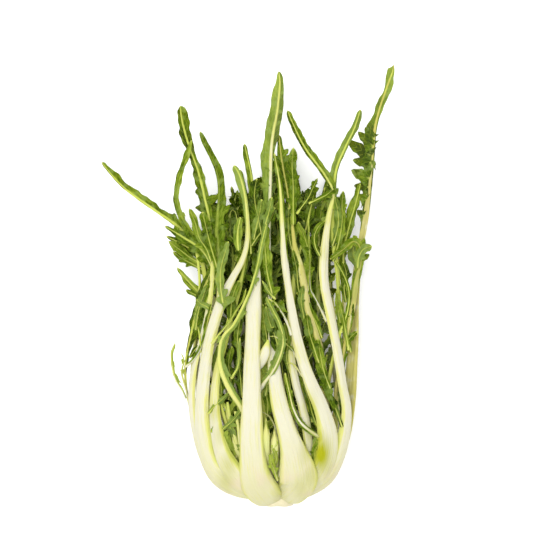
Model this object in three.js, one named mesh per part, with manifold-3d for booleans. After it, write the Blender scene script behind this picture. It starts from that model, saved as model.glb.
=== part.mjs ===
// A head of puntarelle, a chicory with thick white stalks and narrow lobed leaves, lying on its side.
// Millimetres, +Z up. The cut root is at the low end of Y, the leaf tips at the high end, and the
// head rests on the leaves of its underside. Every leaf, with its stalk, is one closed solid.
import * as THREE from "three";
import { mergeVertices } from "three/addons/utils/BufferGeometryUtils.js";
import Module from "manifold-3d";

const wasm = await Module();
wasm.setup();

// ---- driving dimensions -------------------------------------------------------------------
const ROOT_X = 7; // where the cut root sits across the head
const ROOT_HEIGHT = 58; // height of the root's middle above the surface
const GAP = 0.3; // room left between neighbouring leaves
const SECTION_SIDES = 8; // sides of a stalk's cross-section
const STATIONS_PER_POINT = 1.25; // sections along a leaf for each point of its route
const STALK_FLATNESS = 0.5; // thickness of a stalk as a share of its width
const STALK_THICKEST = 8.5;
const STALK_THINNEST = 2.2;
const BLADE_THICKNESS = 1.5;
const BLADE_BLEND = 0.12; // stretch of the leaf over which the stalk flattens into the blade
const FACING_TURN = [0.35, 0.75]; // stretch of the leaf over which it turns from root to tip facing

// Radius and distance from the cut face of the root stump's outline.
const CROWN_PROFILE = [
  [0, 0],
  [12, 0],
  [14, 2],
  [14.5, 9],
  [17, 16],
  [15, 25],
  [8, 31],
  [0, 33],
];

// ---- finishes -----------------------------------------------------------------------------
const FINISHES = {
  white_stalk: { color: 0xf1efd6, roughness: 0.45, metalness: 0 },
  green_leaf: { color: 0x5c8a26, roughness: 0.55, metalness: 0 },
  pale_shoot: { color: 0xdfe8a8, roughness: 0.45, metalness: 0 },
  root_stump: { color: 0xe6dcb8, roughness: 0.6, metalness: 0 },
};

// ---- the leaves ---------------------------------------------------------------------------
// route: points of the leaf's middle line from root to tip, as [across, along, height, width].
// facing: which way the leaf's back looks near the root and near the tip, in degrees round the
//         head's length: 0 is up, 90 is to the right, 180 is down.
// blade: how far along the leaf the thick stalk gives way to the thin blade, from 0 to 1.
const LEAVES = [
  // Front of the head, stalks that lie on top.
  {
    name: "front_cut_leaf",
    finish: "white_stalk",
    facing: [-15, -8],
    blade: 0.85,
    route: [
      [-4, 4, 70, 14], [-11, 14, 85, 25], [-15, 30, 98, 26], [-16, 60, 107, 20],
      [-16, 90, 110, 19], [-16, 125, 108, 14], [-15, 160, 103, 14], [-13, 190, 97, 7], [-9, 214, 92, 1.5],
    ],
  },
  {
    name: "front_centre_leaf",
    finish: "white_stalk",
    facing: [12, 0],
    blade: 0.66,
    route: [
      [14, 4, 70, 15], [22, 11, 79, 26], [25, 24, 91, 31], [24, 38, 99, 29], [21, 52, 104, 23],
      [15, 72, 107, 17], [8, 98, 108, 14], [4, 125, 103, 11], [2, 155, 95, 8], [0, 190, 86, 6],
      [-1, 235, 80, 5], [0, 270, 77, 5], [1, 300, 75, 8], [2, 330, 73, 14], [7, 360, 70, 13],
      [9, 385, 66, 8], [8, 395, 63, 1.5],
    ],
  },
  {
    name: "front_long_leaf",
    finish: "white_stalk",
    facing: [42, 8],
    blade: 0.86,
    route: [
      [26, 5, 66, 12], [42, 14, 73, 19], [52, 28, 80, 24], [55, 46, 86, 23], [53, 68, 92, 20],
      [46, 90, 98, 15], [37, 112, 101, 12], [28, 138, 101, 10], [22, 165, 97, 8.5], [17, 195, 92, 6.5],
      [13, 225, 88, 5], [11, 255, 84, 4.5], [9, 290, 80, 6], [4, 320, 76, 2],
    ],
  },
  {
    name: "front_crossing_leaf",
    finish: "green_leaf",
    facing: [-20, -5],
    blade: 0.3,
    route: [
      [-18, 66, 96, 5], [-24, 88, 102, 6], [-35, 106, 106, 6.5], [-43, 124, 107, 7], [-45, 138, 107, 7],
      [-42, 154, 107, 7], [-33, 168, 107, 6], [-23, 184, 104, 6], [-15, 200, 100, 5.5],
      [-8, 220, 95, 5.5], [-5, 238, 90, 8], [0, 256, 86, 2],
    ],
  },
  {
    name: "front_crescent_leaf",
    finish: "green_leaf",
    facing: [0, 0],
    blade: 0.2,
    route: [
      [-5, 96, 100, 4], [-3, 111, 106, 5], [4, 126, 109, 7], [10, 140, 110, 7.5], [12, 151, 109, 7.5],
      [9, 166, 106, 7], [3, 178, 103, 6], [-3, 190, 100, 1.5],
    ],
  },
  {
    name: "front_curl_leaf",
    finish: "green_leaf",
    facing: [25, 5],
    blade: 0.15,
    route: [
      [46, 64, 98, 3], [37, 70, 104, 4.5], [27, 79, 108, 5], [21, 91, 110, 5], [17, 107, 110, 5],
      [13.5, 123, 107, 1.5],
    ],
  },
  // Right side, from the front round to the outer edge.
  {
    name: "right_hooked_leaf",
    finish: "white_stalk",
    facing: [62, 15],
    blade: 0.76,
    route: [
      [24, 6, 60, 11], [42, 14, 64, 15], [58, 34, 68, 16], [66, 60, 72, 14], [69, 88, 77, 13],
      [66, 110, 82, 12], [62, 140, 84, 11], [56, 175, 84, 9], [50, 205, 83, 7.5], [49, 230, 82, 7],
      [53, 262, 81, 6], [56, 285, 80, 7], [50, 300, 79, 10], [32, 325, 76, 8], [16, 359, 68, 1.5],
    ],
  },
  {
    name: "right_outer_leaf",
    finish: "white_stalk",
    facing: [97, 150],
    blade: 0.66,
    route: [
      [26, 5, 54, 12], [44, 14, 52, 17], [60, 36, 50, 18], [71, 66, 50, 14], [75, 100, 50, 11],
      [76, 140, 51, 10], [78, 190, 52, 8], [82, 225, 54, 6], [87, 262, 56, 6], [91, 295, 57, 12],
      [94, 325, 58, 16], [97, 350, 57, 14], [106, 380, 53, 9], [113, 402, 48, 1.5],
    ],
  },
  {
    name: "right_fork_leaf",
    finish: "green_leaf",
    facing: [95, 20],
    blade: 0.66,
    route: [
      [24, 6, 50, 8], [42, 20, 56, 10], [56, 50, 60, 10], [60, 90, 63, 9], [61, 130, 65, 9],
      [62, 170, 66, 8], [61, 210, 67, 7], [57, 245, 70, 6], [57, 275, 72, 8], [60, 305, 73, 8],
      [68, 325, 72, 7], [76, 342, 70, 6], [82, 360, 66, 1.5],
    ],
  },
  {
    name: "right_tan_leaf",
    finish: "white_stalk",
    facing: [55, 10],
    blade: 0.78,
    route: [
      [20, 8, 52, 8], [36, 24, 62, 9], [46, 50, 71, 9], [50, 80, 77, 9], [49, 112, 81, 8.5],
      [45, 143, 83, 8], [40, 162, 83, 8], [34, 180, 82, 7.5], [31, 200, 81, 7.5], [27, 218, 79, 7.5],
      [23, 232, 77, 6], [20, 256, 74, 5], [16, 285, 71, 12], [11, 312, 69, 14], [8, 337, 66, 2],
    ],
  },
  {
    name: "right_inner_leaf",
    finish: "white_stalk",
    facing: [30, 0],
    blade: 0.72,
    route: [
      [18, 14, 66, 8], [30, 28, 76, 8], [35, 50, 86, 8], [33, 72, 92, 8], [29, 92, 95, 8],
      [24, 110, 96, 8], [20, 132, 93, 7], [18, 160, 86, 6], [20, 190, 78, 5.5], [24, 218, 71, 5],
      [30, 242, 67, 8], [36, 268, 66, 12], [41, 298, 66, 2],
    ],
  },
  {
    name: "right_curled_leaf",
    finish: "green_leaf",
    facing: [80, 20],
    blade: 0.7,
    route: [
      [18, 12, 60, 7], [36, 26, 63, 7], [52, 54, 66, 7], [58, 86, 69, 7], [60, 112, 72, 6.5],
      [66, 140, 73, 6], [72, 165, 74, 6], [77, 188, 74, 6], [80, 208, 75, 7], [82, 224, 77, 9],
      [81, 236, 81, 9], [75, 241, 85, 8], [66, 234, 88, 7], [56, 224, 89, 2],
    ],
  },
  {
    name: "right_serrated_leaf",
    finish: "green_leaf",
    facing: [70, 20],
    blade: 0.6,
    route: [
      [14, 20, 60, 6], [30, 40, 64, 6], [43, 70, 68, 6], [52, 110, 73, 6], [57, 135, 76, 6],
      [64, 160, 78, 6], [70, 178, 80, 6], [71, 196, 81, 6], [66, 211, 80, 5], [59, 223, 79, 1.5],
    ],
  },
  {
    name: "right_broad_leaf",
    finish: "green_leaf",
    facing: [110, 30],
    blade: 0.64,
    route: [
      [20, 8, 44, 8], [40, 22, 42, 9], [56, 48, 38, 9], [64, 84, 36, 8], [66, 124, 38, 7.5],
      [67, 165, 44, 7], [67, 200, 52, 6.5], [67, 232, 60, 10], [72, 255, 62, 13], [78, 276, 62, 8],
      [82, 293, 60, 2],
    ],
  },
  // Left side, from the front round to the outer edge.
  {
    name: "left_white_leaf",
    finish: "white_stalk",
    facing: [-50, -10],
    blade: 0.78,
    route: [
      [-6, 6, 64, 12], [-24, 13, 74, 17], [-42, 26, 80, 18], [-54, 44, 83, 16], [-61, 72, 85, 13],
      [-61, 98, 88, 11], [-59, 122, 89, 10.5], [-55, 148, 89, 10], [-50, 168, 89, 10],
      [-42, 190, 89, 10], [-32, 208, 88, 9], [-24, 224, 86, 8], [-20, 240, 84, 7], [-22, 262, 82, 7],
      [-25, 285, 80, 10], [-33, 309, 76, 4],
    ],
  },
  {
    name: "left_slim_leaf",
    finish: "white_stalk",
    facing: [-38, -10],
    blade: 0.74,
    route: [
      [-4, 8, 68, 10], [-20, 15, 82, 13], [-33, 28, 90, 14], [-43, 50, 95, 11], [-48, 72, 97, 8],
      [-50, 96, 96, 7], [-46, 125, 94, 6.5], [-41, 148, 90, 6], [-34, 176, 84, 5.5], [-26, 205, 76, 5],
      [-20, 235, 72, 5], [-16, 265, 72, 9], [-16, 295, 71, 7], [-23, 329, 68, 1.5],
    ],
  },
  {
    name: "left_tall_leaf",
    finish: "white_stalk",
    facing: [-68, -15],
    blade: 0.66,
    route: [
      [-8, 6, 56, 12], [-28, 12, 62, 17], [-50, 26, 66, 18], [-63, 46, 70, 16], [-70, 74, 74, 13],
      [-71, 100, 77, 11], [-68, 125, 79, 8], [-63, 146, 79, 7], [-57, 170, 76, 6.5], [-53, 200, 73, 6],
      [-52, 228, 70, 6], [-54, 256, 68, 12], [-59, 280, 66, 16], [-65, 304, 64, 10],
      [-73, 326, 62, 12], [-80, 350, 58, 11], [-82, 364, 55, 1.5],
    ],
  },
  {
    name: "left_rim_leaf",
    finish: "green_leaf",
    facing: [-88, -40],
    blade: 0.6,
    route: [
      [-6, 8, 58, 9], [-28, 16, 56, 11], [-52, 32, 57, 12], [-68, 56, 58, 9], [-74, 84, 60, 5],
      [-75, 110, 62, 4], [-75, 130, 64, 5], [-71, 152, 67, 9], [-66, 175, 69, 12], [-59, 200, 67, 12],
      [-50, 218, 67, 9], [-40, 234, 68, 2],
    ],
  },
  {
    name: "left_frill_leaf",
    finish: "green_leaf",
    facing: [-60, -40],
    blade: 0,
    route: [
      [-76, 98, 69, 3], [-79, 105, 69, 3.5], [-85, 115, 69, 4], [-88, 126, 68, 4], [-89, 138, 67, 4],
      [-86, 148, 66, 1.5],
    ],
  },
  {
    name: "left_strap_leaf",
    finish: "green_leaf",
    facing: [-100, -25],
    blade: 0.68,
    route: [
      [-6, 10, 52, 10], [-26, 18, 48, 14], [-48, 36, 45, 15], [-64, 66, 44, 12], [-70, 98, 44, 7],
      [-70, 130, 45, 7], [-66, 160, 47, 6.5], [-60, 188, 49, 6], [-60, 212, 49, 6], [-68, 236, 50, 6],
      [-84, 254, 52, 9], [-101, 268, 53, 12], [-120, 281, 52, 7], [-138, 291, 50, 6],
      [-152, 311, 47, 1.5],
    ],
  },
  {
    name: "left_pale_leaf",
    finish: "green_leaf",
    facing: [-118, -25],
    blade: 0.66,
    route: [
      [-4, 14, 48, 9], [-22, 24, 38, 13], [-43, 46, 31, 14], [-60, 78, 29, 11], [-66, 112, 30, 8],
      [-66, 148, 35, 6], [-64, 182, 44, 6], [-64, 210, 53, 6], [-68, 236, 57, 6], [-76, 252, 60, 6],
      [-82, 264, 64, 6], [-85, 282, 68, 7], [-82, 299, 70, 6], [-76, 316, 71, 6], [-72, 332, 71, 1.5],
    ],
  },
  {
    name: "left_dark_leaf",
    finish: "green_leaf",
    facing: [-70, -10],
    blade: 0.66,
    route: [
      [-2, 14, 62, 7], [-18, 26, 66, 7], [-36, 48, 70, 7], [-46, 76, 74, 7], [-50, 105, 76, 6.5],
      [-49, 140, 76, 6], [-47, 175, 76, 6], [-46, 205, 74, 5.5], [-47, 230, 73, 6], [-47, 252, 73, 8],
      [-43, 277, 74, 9], [-43, 292, 74, 9], [-46, 305, 73, 8], [-51, 316, 71, 7], [-58, 329, 68, 6],
      [-64, 340, 65, 1.5],
    ],
  },
  {
    name: "left_fan_leaf_upper",
    finish: "green_leaf",
    facing: [-90, -15],
    blade: 0.62,
    route: [
      [-2, 20, 54, 6], [-14, 34, 54, 6], [-32, 58, 54, 6.5], [-46, 90, 56, 6], [-52, 125, 58, 6],
      [-53, 160, 60, 5.5], [-51, 190, 61, 5], [-52, 214, 62, 7], [-61, 232, 65, 14], [-77, 243, 64, 16],
      [-94, 253, 61, 2],
    ],
  },
  {
    name: "left_fan_leaf_lower",
    finish: "green_leaf",
    facing: [-110, -25],
    blade: 0.62,
    route: [
      [-2, 20, 48, 6], [-14, 34, 44, 6], [-32, 58, 40, 6], [-45, 90, 38, 6], [-50, 125, 37, 6],
      [-51, 160, 38, 5.5], [-51, 190, 39, 5], [-54, 210, 40, 6], [-62, 226, 42, 12], [-78, 237, 43, 12],
      [-93, 245, 42, 2],
    ],
  },
  {
    name: "left_finger_leaf",
    finish: "green_leaf",
    facing: [-120, -30],
    blade: 0.55,
    route: [
      [-2, 24, 46, 6], [-12, 42, 36, 6], [-28, 66, 28, 6], [-38, 98, 25, 6], [-44, 132, 25, 6],
      [-50, 160, 29, 6], [-57, 180, 33, 6], [-65, 195, 35, 6.5], [-76, 207, 36, 6.5], [-85, 217, 35, 2],
    ],
  },
  // Underside, on which the head rests.
  {
    name: "under_leaf_middle",
    finish: "white_stalk",
    facing: [180, 180],
    blade: 0.66,
    route: [
      [8, 5, 44, 14], [6, 14, 27, 22], [4, 32, 11, 26], [2, 60, 4, 24], [1, 95, 3.8, 19],
      [0, 135, 3.1, 13], [-2, 180, 2.3, 9], [-4, 225, 1.9, 7], [-6, 265, 1.4, 12], [-8, 305, 1.4, 12],
      [-10, 335, 2, 2],
    ],
  },
  {
    name: "under_leaf_right",
    finish: "white_stalk",
    facing: [152, 178],
    blade: 0.66,
    route: [
      [14, 5, 46, 12], [22, 14, 31, 19], [31, 32, 15, 24], [36, 60, 6, 22], [36, 95, 3.8, 17],
      [33, 135, 3, 12], [29, 180, 2.4, 9], [26, 225, 1.9, 7], [24, 262, 1.4, 12], [22, 296, 1.6, 11],
      [20, 322, 3, 2],
    ],
  },
  {
    name: "under_leaf_left",
    finish: "white_stalk",
    facing: [-155, -178],
    blade: 0.66,
    route: [
      [0, 5, 46, 12], [-10, 14, 31, 19], [-21, 32, 15, 24], [-28, 60, 6, 22], [-30, 95, 3.8, 17],
      [-29, 135, 3, 12], [-27, 180, 2.4, 9], [-27, 225, 1.9, 7], [-30, 262, 1.4, 12], [-34, 296, 1.6, 11],
      [-38, 318, 3, 2],
    ],
  },
  {
    name: "under_leaf_outer_right",
    finish: "white_stalk",
    facing: [125, 172],
    blade: 0.66,
    route: [
      [22, 6, 50, 11], [38, 16, 40, 17], [52, 34, 29, 20], [62, 60, 23, 18], [64, 95, 19, 14],
      [61, 135, 14, 10], [56, 180, 8, 8], [52, 222, 4, 6], [50, 255, 2, 11], [52, 283, 1.6, 10],
      [56, 306, 3, 2],
    ],
  },
  {
    name: "under_leaf_outer_left",
    finish: "white_stalk",
    facing: [-133, -172],
    blade: 0.66,
    route: [
      [-4, 6, 50, 11], [-20, 16, 38, 16], [-36, 34, 26, 18], [-48, 60, 18, 16], [-53, 95, 13, 13],
      [-52, 135, 9, 10], [-49, 180, 5, 8], [-47, 222, 2.4, 7], [-50, 255, 1.6, 11], [-56, 283, 1.6, 10],
      [-62, 304, 3, 2],
    ],
  },
  // Between the outer leaves and the heart.
  {
    name: "middle_leaf_top",
    finish: "green_leaf",
    facing: [0, 0],
    blade: 0.62,
    route: [
      [5, 28, 66, 6], [0, 55, 80, 7], [-4, 90, 88, 7], [-6, 130, 86, 6.5], [-8, 170, 77, 6],
      [-10, 205, 69, 6], [-10, 240, 65, 12], [-9, 275, 63, 12], [-6, 300, 62, 2],
    ],
  },
  {
    name: "middle_leaf_upper_right",
    finish: "green_leaf",
    facing: [40, 5],
    blade: 0.62,
    route: [
      [12, 28, 64, 6], [20, 55, 74, 6], [26, 90, 80, 6], [28, 130, 78, 6], [26, 170, 70, 6],
      [22, 205, 62, 6], [20, 235, 60, 12], [22, 265, 59, 12], [26, 290, 58, 2],
    ],
  },
  {
    name: "middle_leaf_right",
    finish: "green_leaf",
    facing: [80, 15],
    blade: 0.62,
    route: [
      [16, 28, 58, 6], [30, 55, 59, 6], [40, 90, 59, 6], [44, 130, 57, 6], [44, 170, 56, 5.5],
      [43, 205, 55, 6], [44, 235, 55, 12], [46, 265, 55, 12], [50, 290, 54, 2],
    ],
  },
  {
    name: "middle_leaf_lower_right",
    finish: "green_leaf",
    facing: [120, 165],
    blade: 0.62,
    route: [
      [16, 28, 52, 6], [28, 55, 46, 6], [36, 90, 42, 6], [40, 130, 40, 6], [42, 170, 39, 5.5],
      [44, 205, 38, 6], [50, 232, 38, 12], [58, 256, 38, 11], [66, 276, 37, 2],
    ],
  },
  {
    name: "middle_leaf_under_right",
    finish: "green_leaf",
    facing: [160, 175],
    blade: 0.62,
    route: [
      [10, 28, 48, 6], [14, 55, 36, 6], [16, 90, 28, 6], [18, 130, 24, 6], [20, 170, 21, 5.5],
      [22, 205, 19, 6], [24, 240, 18, 12], [28, 272, 18, 12], [32, 300, 18, 2],
    ],
  },
  {
    name: "middle_leaf_under_left",
    finish: "green_leaf",
    facing: [-160, -175],
    blade: 0.62,
    route: [
      [4, 28, 48, 6], [-6, 55, 36, 6], [-12, 90, 28, 6], [-15, 130, 24, 6], [-17, 170, 21, 5.5],
      [-20, 205, 19, 6], [-24, 238, 18, 12], [-30, 268, 18, 12], [-36, 292, 18, 2],
    ],
  },
  {
    name: "middle_leaf_lower_left",
    finish: "green_leaf",
    facing: [-120, -165],
    blade: 0.62,
    route: [
      [0, 28, 52, 6], [-14, 55, 47, 6], [-26, 90, 44, 6], [-32, 130, 43, 6], [-35, 170, 42, 5.5],
      [-38, 205, 41, 6], [-42, 234, 39, 12], [-48, 260, 37, 12], [-54, 284, 36, 2],
    ],
  },
  {
    name: "middle_leaf_left",
    finish: "green_leaf",
    facing: [-80, -15],
    blade: 0.62,
    route: [
      [-2, 28, 58, 6], [-16, 55, 62, 6], [-28, 90, 64, 6], [-34, 130, 64, 6], [-36, 165, 62, 5.5],
      [-34, 200, 59, 6], [-34, 232, 57, 12], [-36, 262, 56, 12], [-38, 288, 56, 2],
    ],
  },
  {
    name: "middle_leaf_centre",
    finish: "green_leaf",
    facing: [180, 180],
    blade: 0.6,
    route: [
      [8, 32, 52, 5], [6, 60, 47, 6], [4, 100, 44, 6], [3, 140, 43, 6], [4, 180, 43, 6],
      [5, 215, 43, 8], [8, 250, 44, 12], [6, 285, 45, 12], [2, 318, 46, 2],
    ],
  },
];

// The young shoots of the heart: short, round and hollow-looking, with a blunt tip.
const SHOOTS = [
  {
    name: "heart_shoot_left_outer",
    route: [[-6, 30, 72, 6], [-18, 46, 80, 7], [-28, 62, 86, 6], [-36, 80, 90, 5], [-41, 96, 92, 1.5]],
  },
  {
    name: "heart_shoot_left_inner",
    route: [[-4, 26, 76, 6], [-16, 36, 84, 6.5], [-25, 46, 89, 6], [-31, 57, 92, 5], [-35, 70, 93, 1.5]],
  },
  {
    name: "heart_shoot_front_tall",
    route: [[2, 26, 78, 5], [-1, 38, 88, 6], [-3, 52, 95, 5.5], [-3, 66, 98, 5], [-3, 77, 99, 1.5]],
  },
  {
    name: "heart_shoot_front_short",
    route: [[8, 26, 76, 5], [5, 38, 86, 6], [4, 50, 92, 5.5], [4, 60, 94, 4.5], [3.5, 68, 95, 1.5]],
  },
  {
    name: "heart_shoot_middle",
    route: [[6, 34, 62, 9], [2, 52, 65, 11], [-4, 74, 66, 10], [-8, 98, 66, 8], [-10, 112, 66, 2]],
  },
  {
    name: "heart_shoot_right",
    route: [[12, 34, 60, 8], [15, 50, 60, 10], [20, 72, 61, 10], [24, 92, 61, 7], [26, 104, 61, 2]],
  },
  {
    name: "heart_shoot_left",
    route: [[1, 34, 56, 8], [-8, 50, 54, 10], [-16, 72, 53, 9], [-20, 90, 53, 6], [-22, 100, 53, 2]],
  },
  {
    name: "heart_shoot_right_low",
    route: [[12, 34, 54, 8], [16, 50, 48, 10], [20, 72, 44, 9], [23, 90, 43, 6], [24, 100, 43, 2]],
  },
];

// ---- shapes -------------------------------------------------------------------------------
function smoothStep(low, high, value) {
  const share = Math.min(Math.max((value - low) / (high - low), 0), 1);
  return share * share * (3 - 2 * share);
}

// Width of a route at a share of its points, straight from each point to the next.
function widthAt(route, share) {
  const place = share * (route.length - 1);
  const before = Math.min(Math.floor(place), route.length - 2);
  return THREE.MathUtils.lerp(route[before][3], route[before + 1][3], place - before);
}

// A closed skin round a list of rings with the same number of corners.
function skinOverRings(rings) {
  const sides = rings[0].length;
  const positions = rings.flat().flatMap((corner) => [corner.x, corner.y, corner.z]);
  const index = [];
  for (let ring = 0; ring + 1 < rings.length; ring += 1) {
    for (let side = 0; side < sides; side += 1) {
      const here = ring * sides + side;
      const beside = ring * sides + ((side + 1) % sides);
      index.push(here, beside, beside + sides, here, beside + sides, here + sides);
    }
  }
  const last = (rings.length - 1) * sides;
  for (let side = 1; side + 1 < sides; side += 1) {
    index.push(0, side + 1, side);
    index.push(last, last + side, last + side + 1);
  }
  const geometry = new THREE.BufferGeometry();
  geometry.setAttribute("position", new THREE.Float32BufferAttribute(positions, 3));
  geometry.setIndex(index);
  return geometry;
}

// A stalk and blade: flattened rings along the route, made fatter on every side by extra.
function leafSkin({ route, facing, thicknessAt }, extra) {
  const curve = new THREE.CatmullRomCurve3(
    route.map(([x, y, z]) => new THREE.Vector3(x, y, z)),
    false,
    "centripetal",
  );
  const steps = Math.round((route.length - 1) * STATIONS_PER_POINT);
  const rings = [];
  for (let step = 0; step <= steps; step += 1) {
    const share = step / steps;
    const along = curve.getTangent(share);
    const middle = curve.getPoint(share);
    if (step === 0) middle.addScaledVector(along, -extra);
    if (step === steps) middle.addScaledVector(along, extra);
    const turn = THREE.MathUtils.degToRad(
      THREE.MathUtils.lerp(facing[0], facing[1], smoothStep(...FACING_TURN, share)),
    );
    const back = new THREE.Vector3(Math.sin(turn), 0, Math.cos(turn));
    const across = new THREE.Vector3().crossVectors(along, back).normalize();
    back.crossVectors(across, along).normalize();
    const halfWidth = widthAt(route, share) / 2 + extra;
    const halfThickness = thicknessAt(share) / 2 + extra;
    const ring = [];
    for (let side = 0; side < SECTION_SIDES; side += 1) {
      const angle = (2 * Math.PI * side) / SECTION_SIDES;
      const corner = middle.clone();
      corner.addScaledVector(across, -halfWidth * Math.cos(angle));
      corner.addScaledVector(back, halfThickness * Math.sin(angle));
      corner.z = Math.max(corner.z, 0);
      ring.push(corner);
    }
    rings.push(ring);
  }
  return skinOverRings(rings);
}

// The stump that all stalks grow from: a short round body whose cut face looks away from the tips.
function crownSkin(extra) {
  const profile = CROWN_PROFILE.map(([radius, height]) => {
    const grownRadius = radius === 0 ? 0 : radius + extra;
    const grownHeight = height === 0 ? -extra : height + extra;
    return new THREE.Vector2(grownRadius, grownHeight);
  });
  const geometry = new THREE.LatheGeometry(profile, 20);
  geometry.translate(ROOT_X, 0, ROOT_HEIGHT);
  return geometry;
}

// ---- solids -------------------------------------------------------------------------------
function solidFrom(geometry) {
  const bare = geometry.clone();
  bare.deleteAttribute("normal");
  bare.deleteAttribute("uv");
  const merged = mergeVertices(bare, 1e-4);
  const mesh = new wasm.Mesh({
    numProp: 3,
    vertProperties: Float32Array.from(merged.attributes.position.array),
    triVerts: Uint32Array.from(merged.index.array),
  });
  return new wasm.Manifold(mesh);
}

function geometryFrom(solid) {
  const { vertProperties, triVerts } = solid.getMesh();
  const geometry = new THREE.BufferGeometry();
  geometry.setAttribute("position", new THREE.Float32BufferAttribute(vertProperties, 3));
  geometry.setIndex(new THREE.Uint32BufferAttribute(triVerts, 1));
  geometry.computeVertexNormals();
  return geometry;
}

// The body that is left once its neighbours are cut away, without the crumbs.
function largestBody(solid) {
  return solid.decompose().reduce((best, body) => (body.volume() > best.volume() ? body : best));
}

function boxesMeet(first, second) {
  const a = first.boundingBox();
  const b = second.boundingBox();
  return [0, 1, 2].every((axis) => a.min[axis] <= b.max[axis] && b.min[axis] <= a.max[axis]);
}

// Thickness of a leaf at a share of its route: a stalk that flattens into a thin blade.
function leafThickness(route, blade) {
  return (share) => {
    const stalk = THREE.MathUtils.clamp(
      widthAt(route, share) * STALK_FLATNESS, STALK_THINNEST, STALK_THICKEST,
    );
    return THREE.MathUtils.lerp(stalk, BLADE_THICKNESS, smoothStep(blade, blade + BLADE_BLEND, share));
  };
}

const pieces = [
  { name: "root_stump", finish: "root_stump", skin: crownSkin },
  ...LEAVES.map(({ name, finish, facing, blade, route }) => ({
    name,
    finish,
    skin: (extra) => leafSkin({ route, facing, thicknessAt: leafThickness(route, blade) }, extra),
  })),
  ...SHOOTS.map(({ name, route }) => ({
    name,
    finish: "pale_shoot",
    skin: (extra) =>
      leafSkin({ route, facing: [0, 0], thicknessAt: (share) => widthAt(route, share) }, extra),
  })),
];

// ---- assembly -----------------------------------------------------------------------------
// Each piece gives way to those listed before it, and keeps the gap to them.
const group = new THREE.Group();
const cutters = [];
for (const { name, finish, skin } of pieces) {
  let solid = solidFrom(skin(0));
  for (const cutter of cutters) {
    if (boxesMeet(solid, cutter)) solid = solid.subtract(cutter);
  }
  solid = largestBody(solid);
  cutters.push(solidFrom(skin(GAP)));
  const mesh = new THREE.Mesh(geometryFrom(solid), new THREE.MeshStandardMaterial(FINISHES[finish]));
  mesh.name = name;
  group.add(mesh);
}

// The row's origin is the middle of the surface that the head lies on.
const box = new THREE.Box3().setFromObject(group);
const centre = box.getCenter(new THREE.Vector3());
group.position.set(-centre.x, -centre.y, -box.min.z);

export default group;
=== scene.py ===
import math

import bpy
import numpy as np
from bpy.props import FloatProperty, FloatVectorProperty, PointerProperty
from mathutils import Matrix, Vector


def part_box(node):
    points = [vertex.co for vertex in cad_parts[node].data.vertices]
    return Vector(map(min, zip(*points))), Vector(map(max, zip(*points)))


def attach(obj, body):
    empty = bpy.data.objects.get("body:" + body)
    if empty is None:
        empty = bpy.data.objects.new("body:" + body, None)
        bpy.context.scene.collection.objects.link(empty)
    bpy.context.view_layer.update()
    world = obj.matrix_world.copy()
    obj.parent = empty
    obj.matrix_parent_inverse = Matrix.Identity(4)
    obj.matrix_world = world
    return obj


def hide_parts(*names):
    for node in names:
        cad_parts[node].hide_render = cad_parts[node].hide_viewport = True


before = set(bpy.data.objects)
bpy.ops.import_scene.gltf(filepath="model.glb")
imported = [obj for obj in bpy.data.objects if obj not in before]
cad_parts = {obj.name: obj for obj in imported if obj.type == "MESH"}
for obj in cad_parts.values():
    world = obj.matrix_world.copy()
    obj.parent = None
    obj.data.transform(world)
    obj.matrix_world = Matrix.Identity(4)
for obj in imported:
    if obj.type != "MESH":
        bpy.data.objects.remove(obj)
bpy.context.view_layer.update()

bl_info = {
    "name": "Puntarelle head",
    "version": (1, 0, 0),
    "blender": (4, 5, 0),
    "location": "3D View > Sidebar > Puntarelle",
    "description": "Makes the leaves, heart shoots and cut root of a head of puntarelle lying on its side",
    "category": "Add Mesh",
}

MM = 0.001
SHIFT = np.array([19.4508, -200.6515, 0.0])  # from the routes' own origin to the row's, in mm

# ---- shorthand for the tables ---------------------------------------------------------------
# Widths in mm at the nine points of a middle leaf, and at the four of a side leaf, root to tip.
MIDDLE_WIDTHS = (6, 7, 7, 6.5, 5.5, 4.5, 3.5, 3, 1.5)
STOUT = (1.8, 1.5, 1.2, 0.9)
FULL = (1.6, 1.4, 1.2, 0.9)
EVEN = (1.6, 1.4, 1.1, 0.8)
SLENDER = (1.5, 1.2, 1, 0.8)
THIN = (1.4, 1.2, 0.9, 0.7)
# Places along a small blade, with the share of its widest reach at each.
SMALL_BLADE = ((0, 0.25), (0.12, 0.5), (0.35, 1), (0.75, 1), (1, 0.6))


def blade_outline(left, right):
    """Reaches of a small blade that widens to its middle and rounds off at its tip."""
    return [(place, share * left, share * right) for place, share in SMALL_BLADE]


def middle_leaf(back, tone, fringe, path, **own):
    """Look of a middle leaf. Its blade is widest at its path's seventh point, or as its own wings say."""
    widest, narrower, tip = (path[k][1] for k in (6, 7, 8))
    wings = [(120, 0.4, 0.4), (160, 2, 2), (205, 4, 4), (widest, 5, 5), (narrower, 4, 4), (tip - 3, 1, 1)]
    route = [(*point, width) for point, width in zip(path, MIDDLE_WIDTHS)]
    return {"back": back, "tone": tone, "fringe": fringe, "route": route, "wings": wings, **own}


def sprig(reach, tone, widths, path, lobes=(), **own):
    """Look of one side leaf, whose reach is one number for both sides of its rib, or two."""
    route = [(*point, width) for point, width in zip(path, widths)]
    wings = blade_outline(*np.broadcast_to(reach, 2))
    return {"route": route, "wings": wings, "tone": tone, "lobes": lobes, **own}


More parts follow.
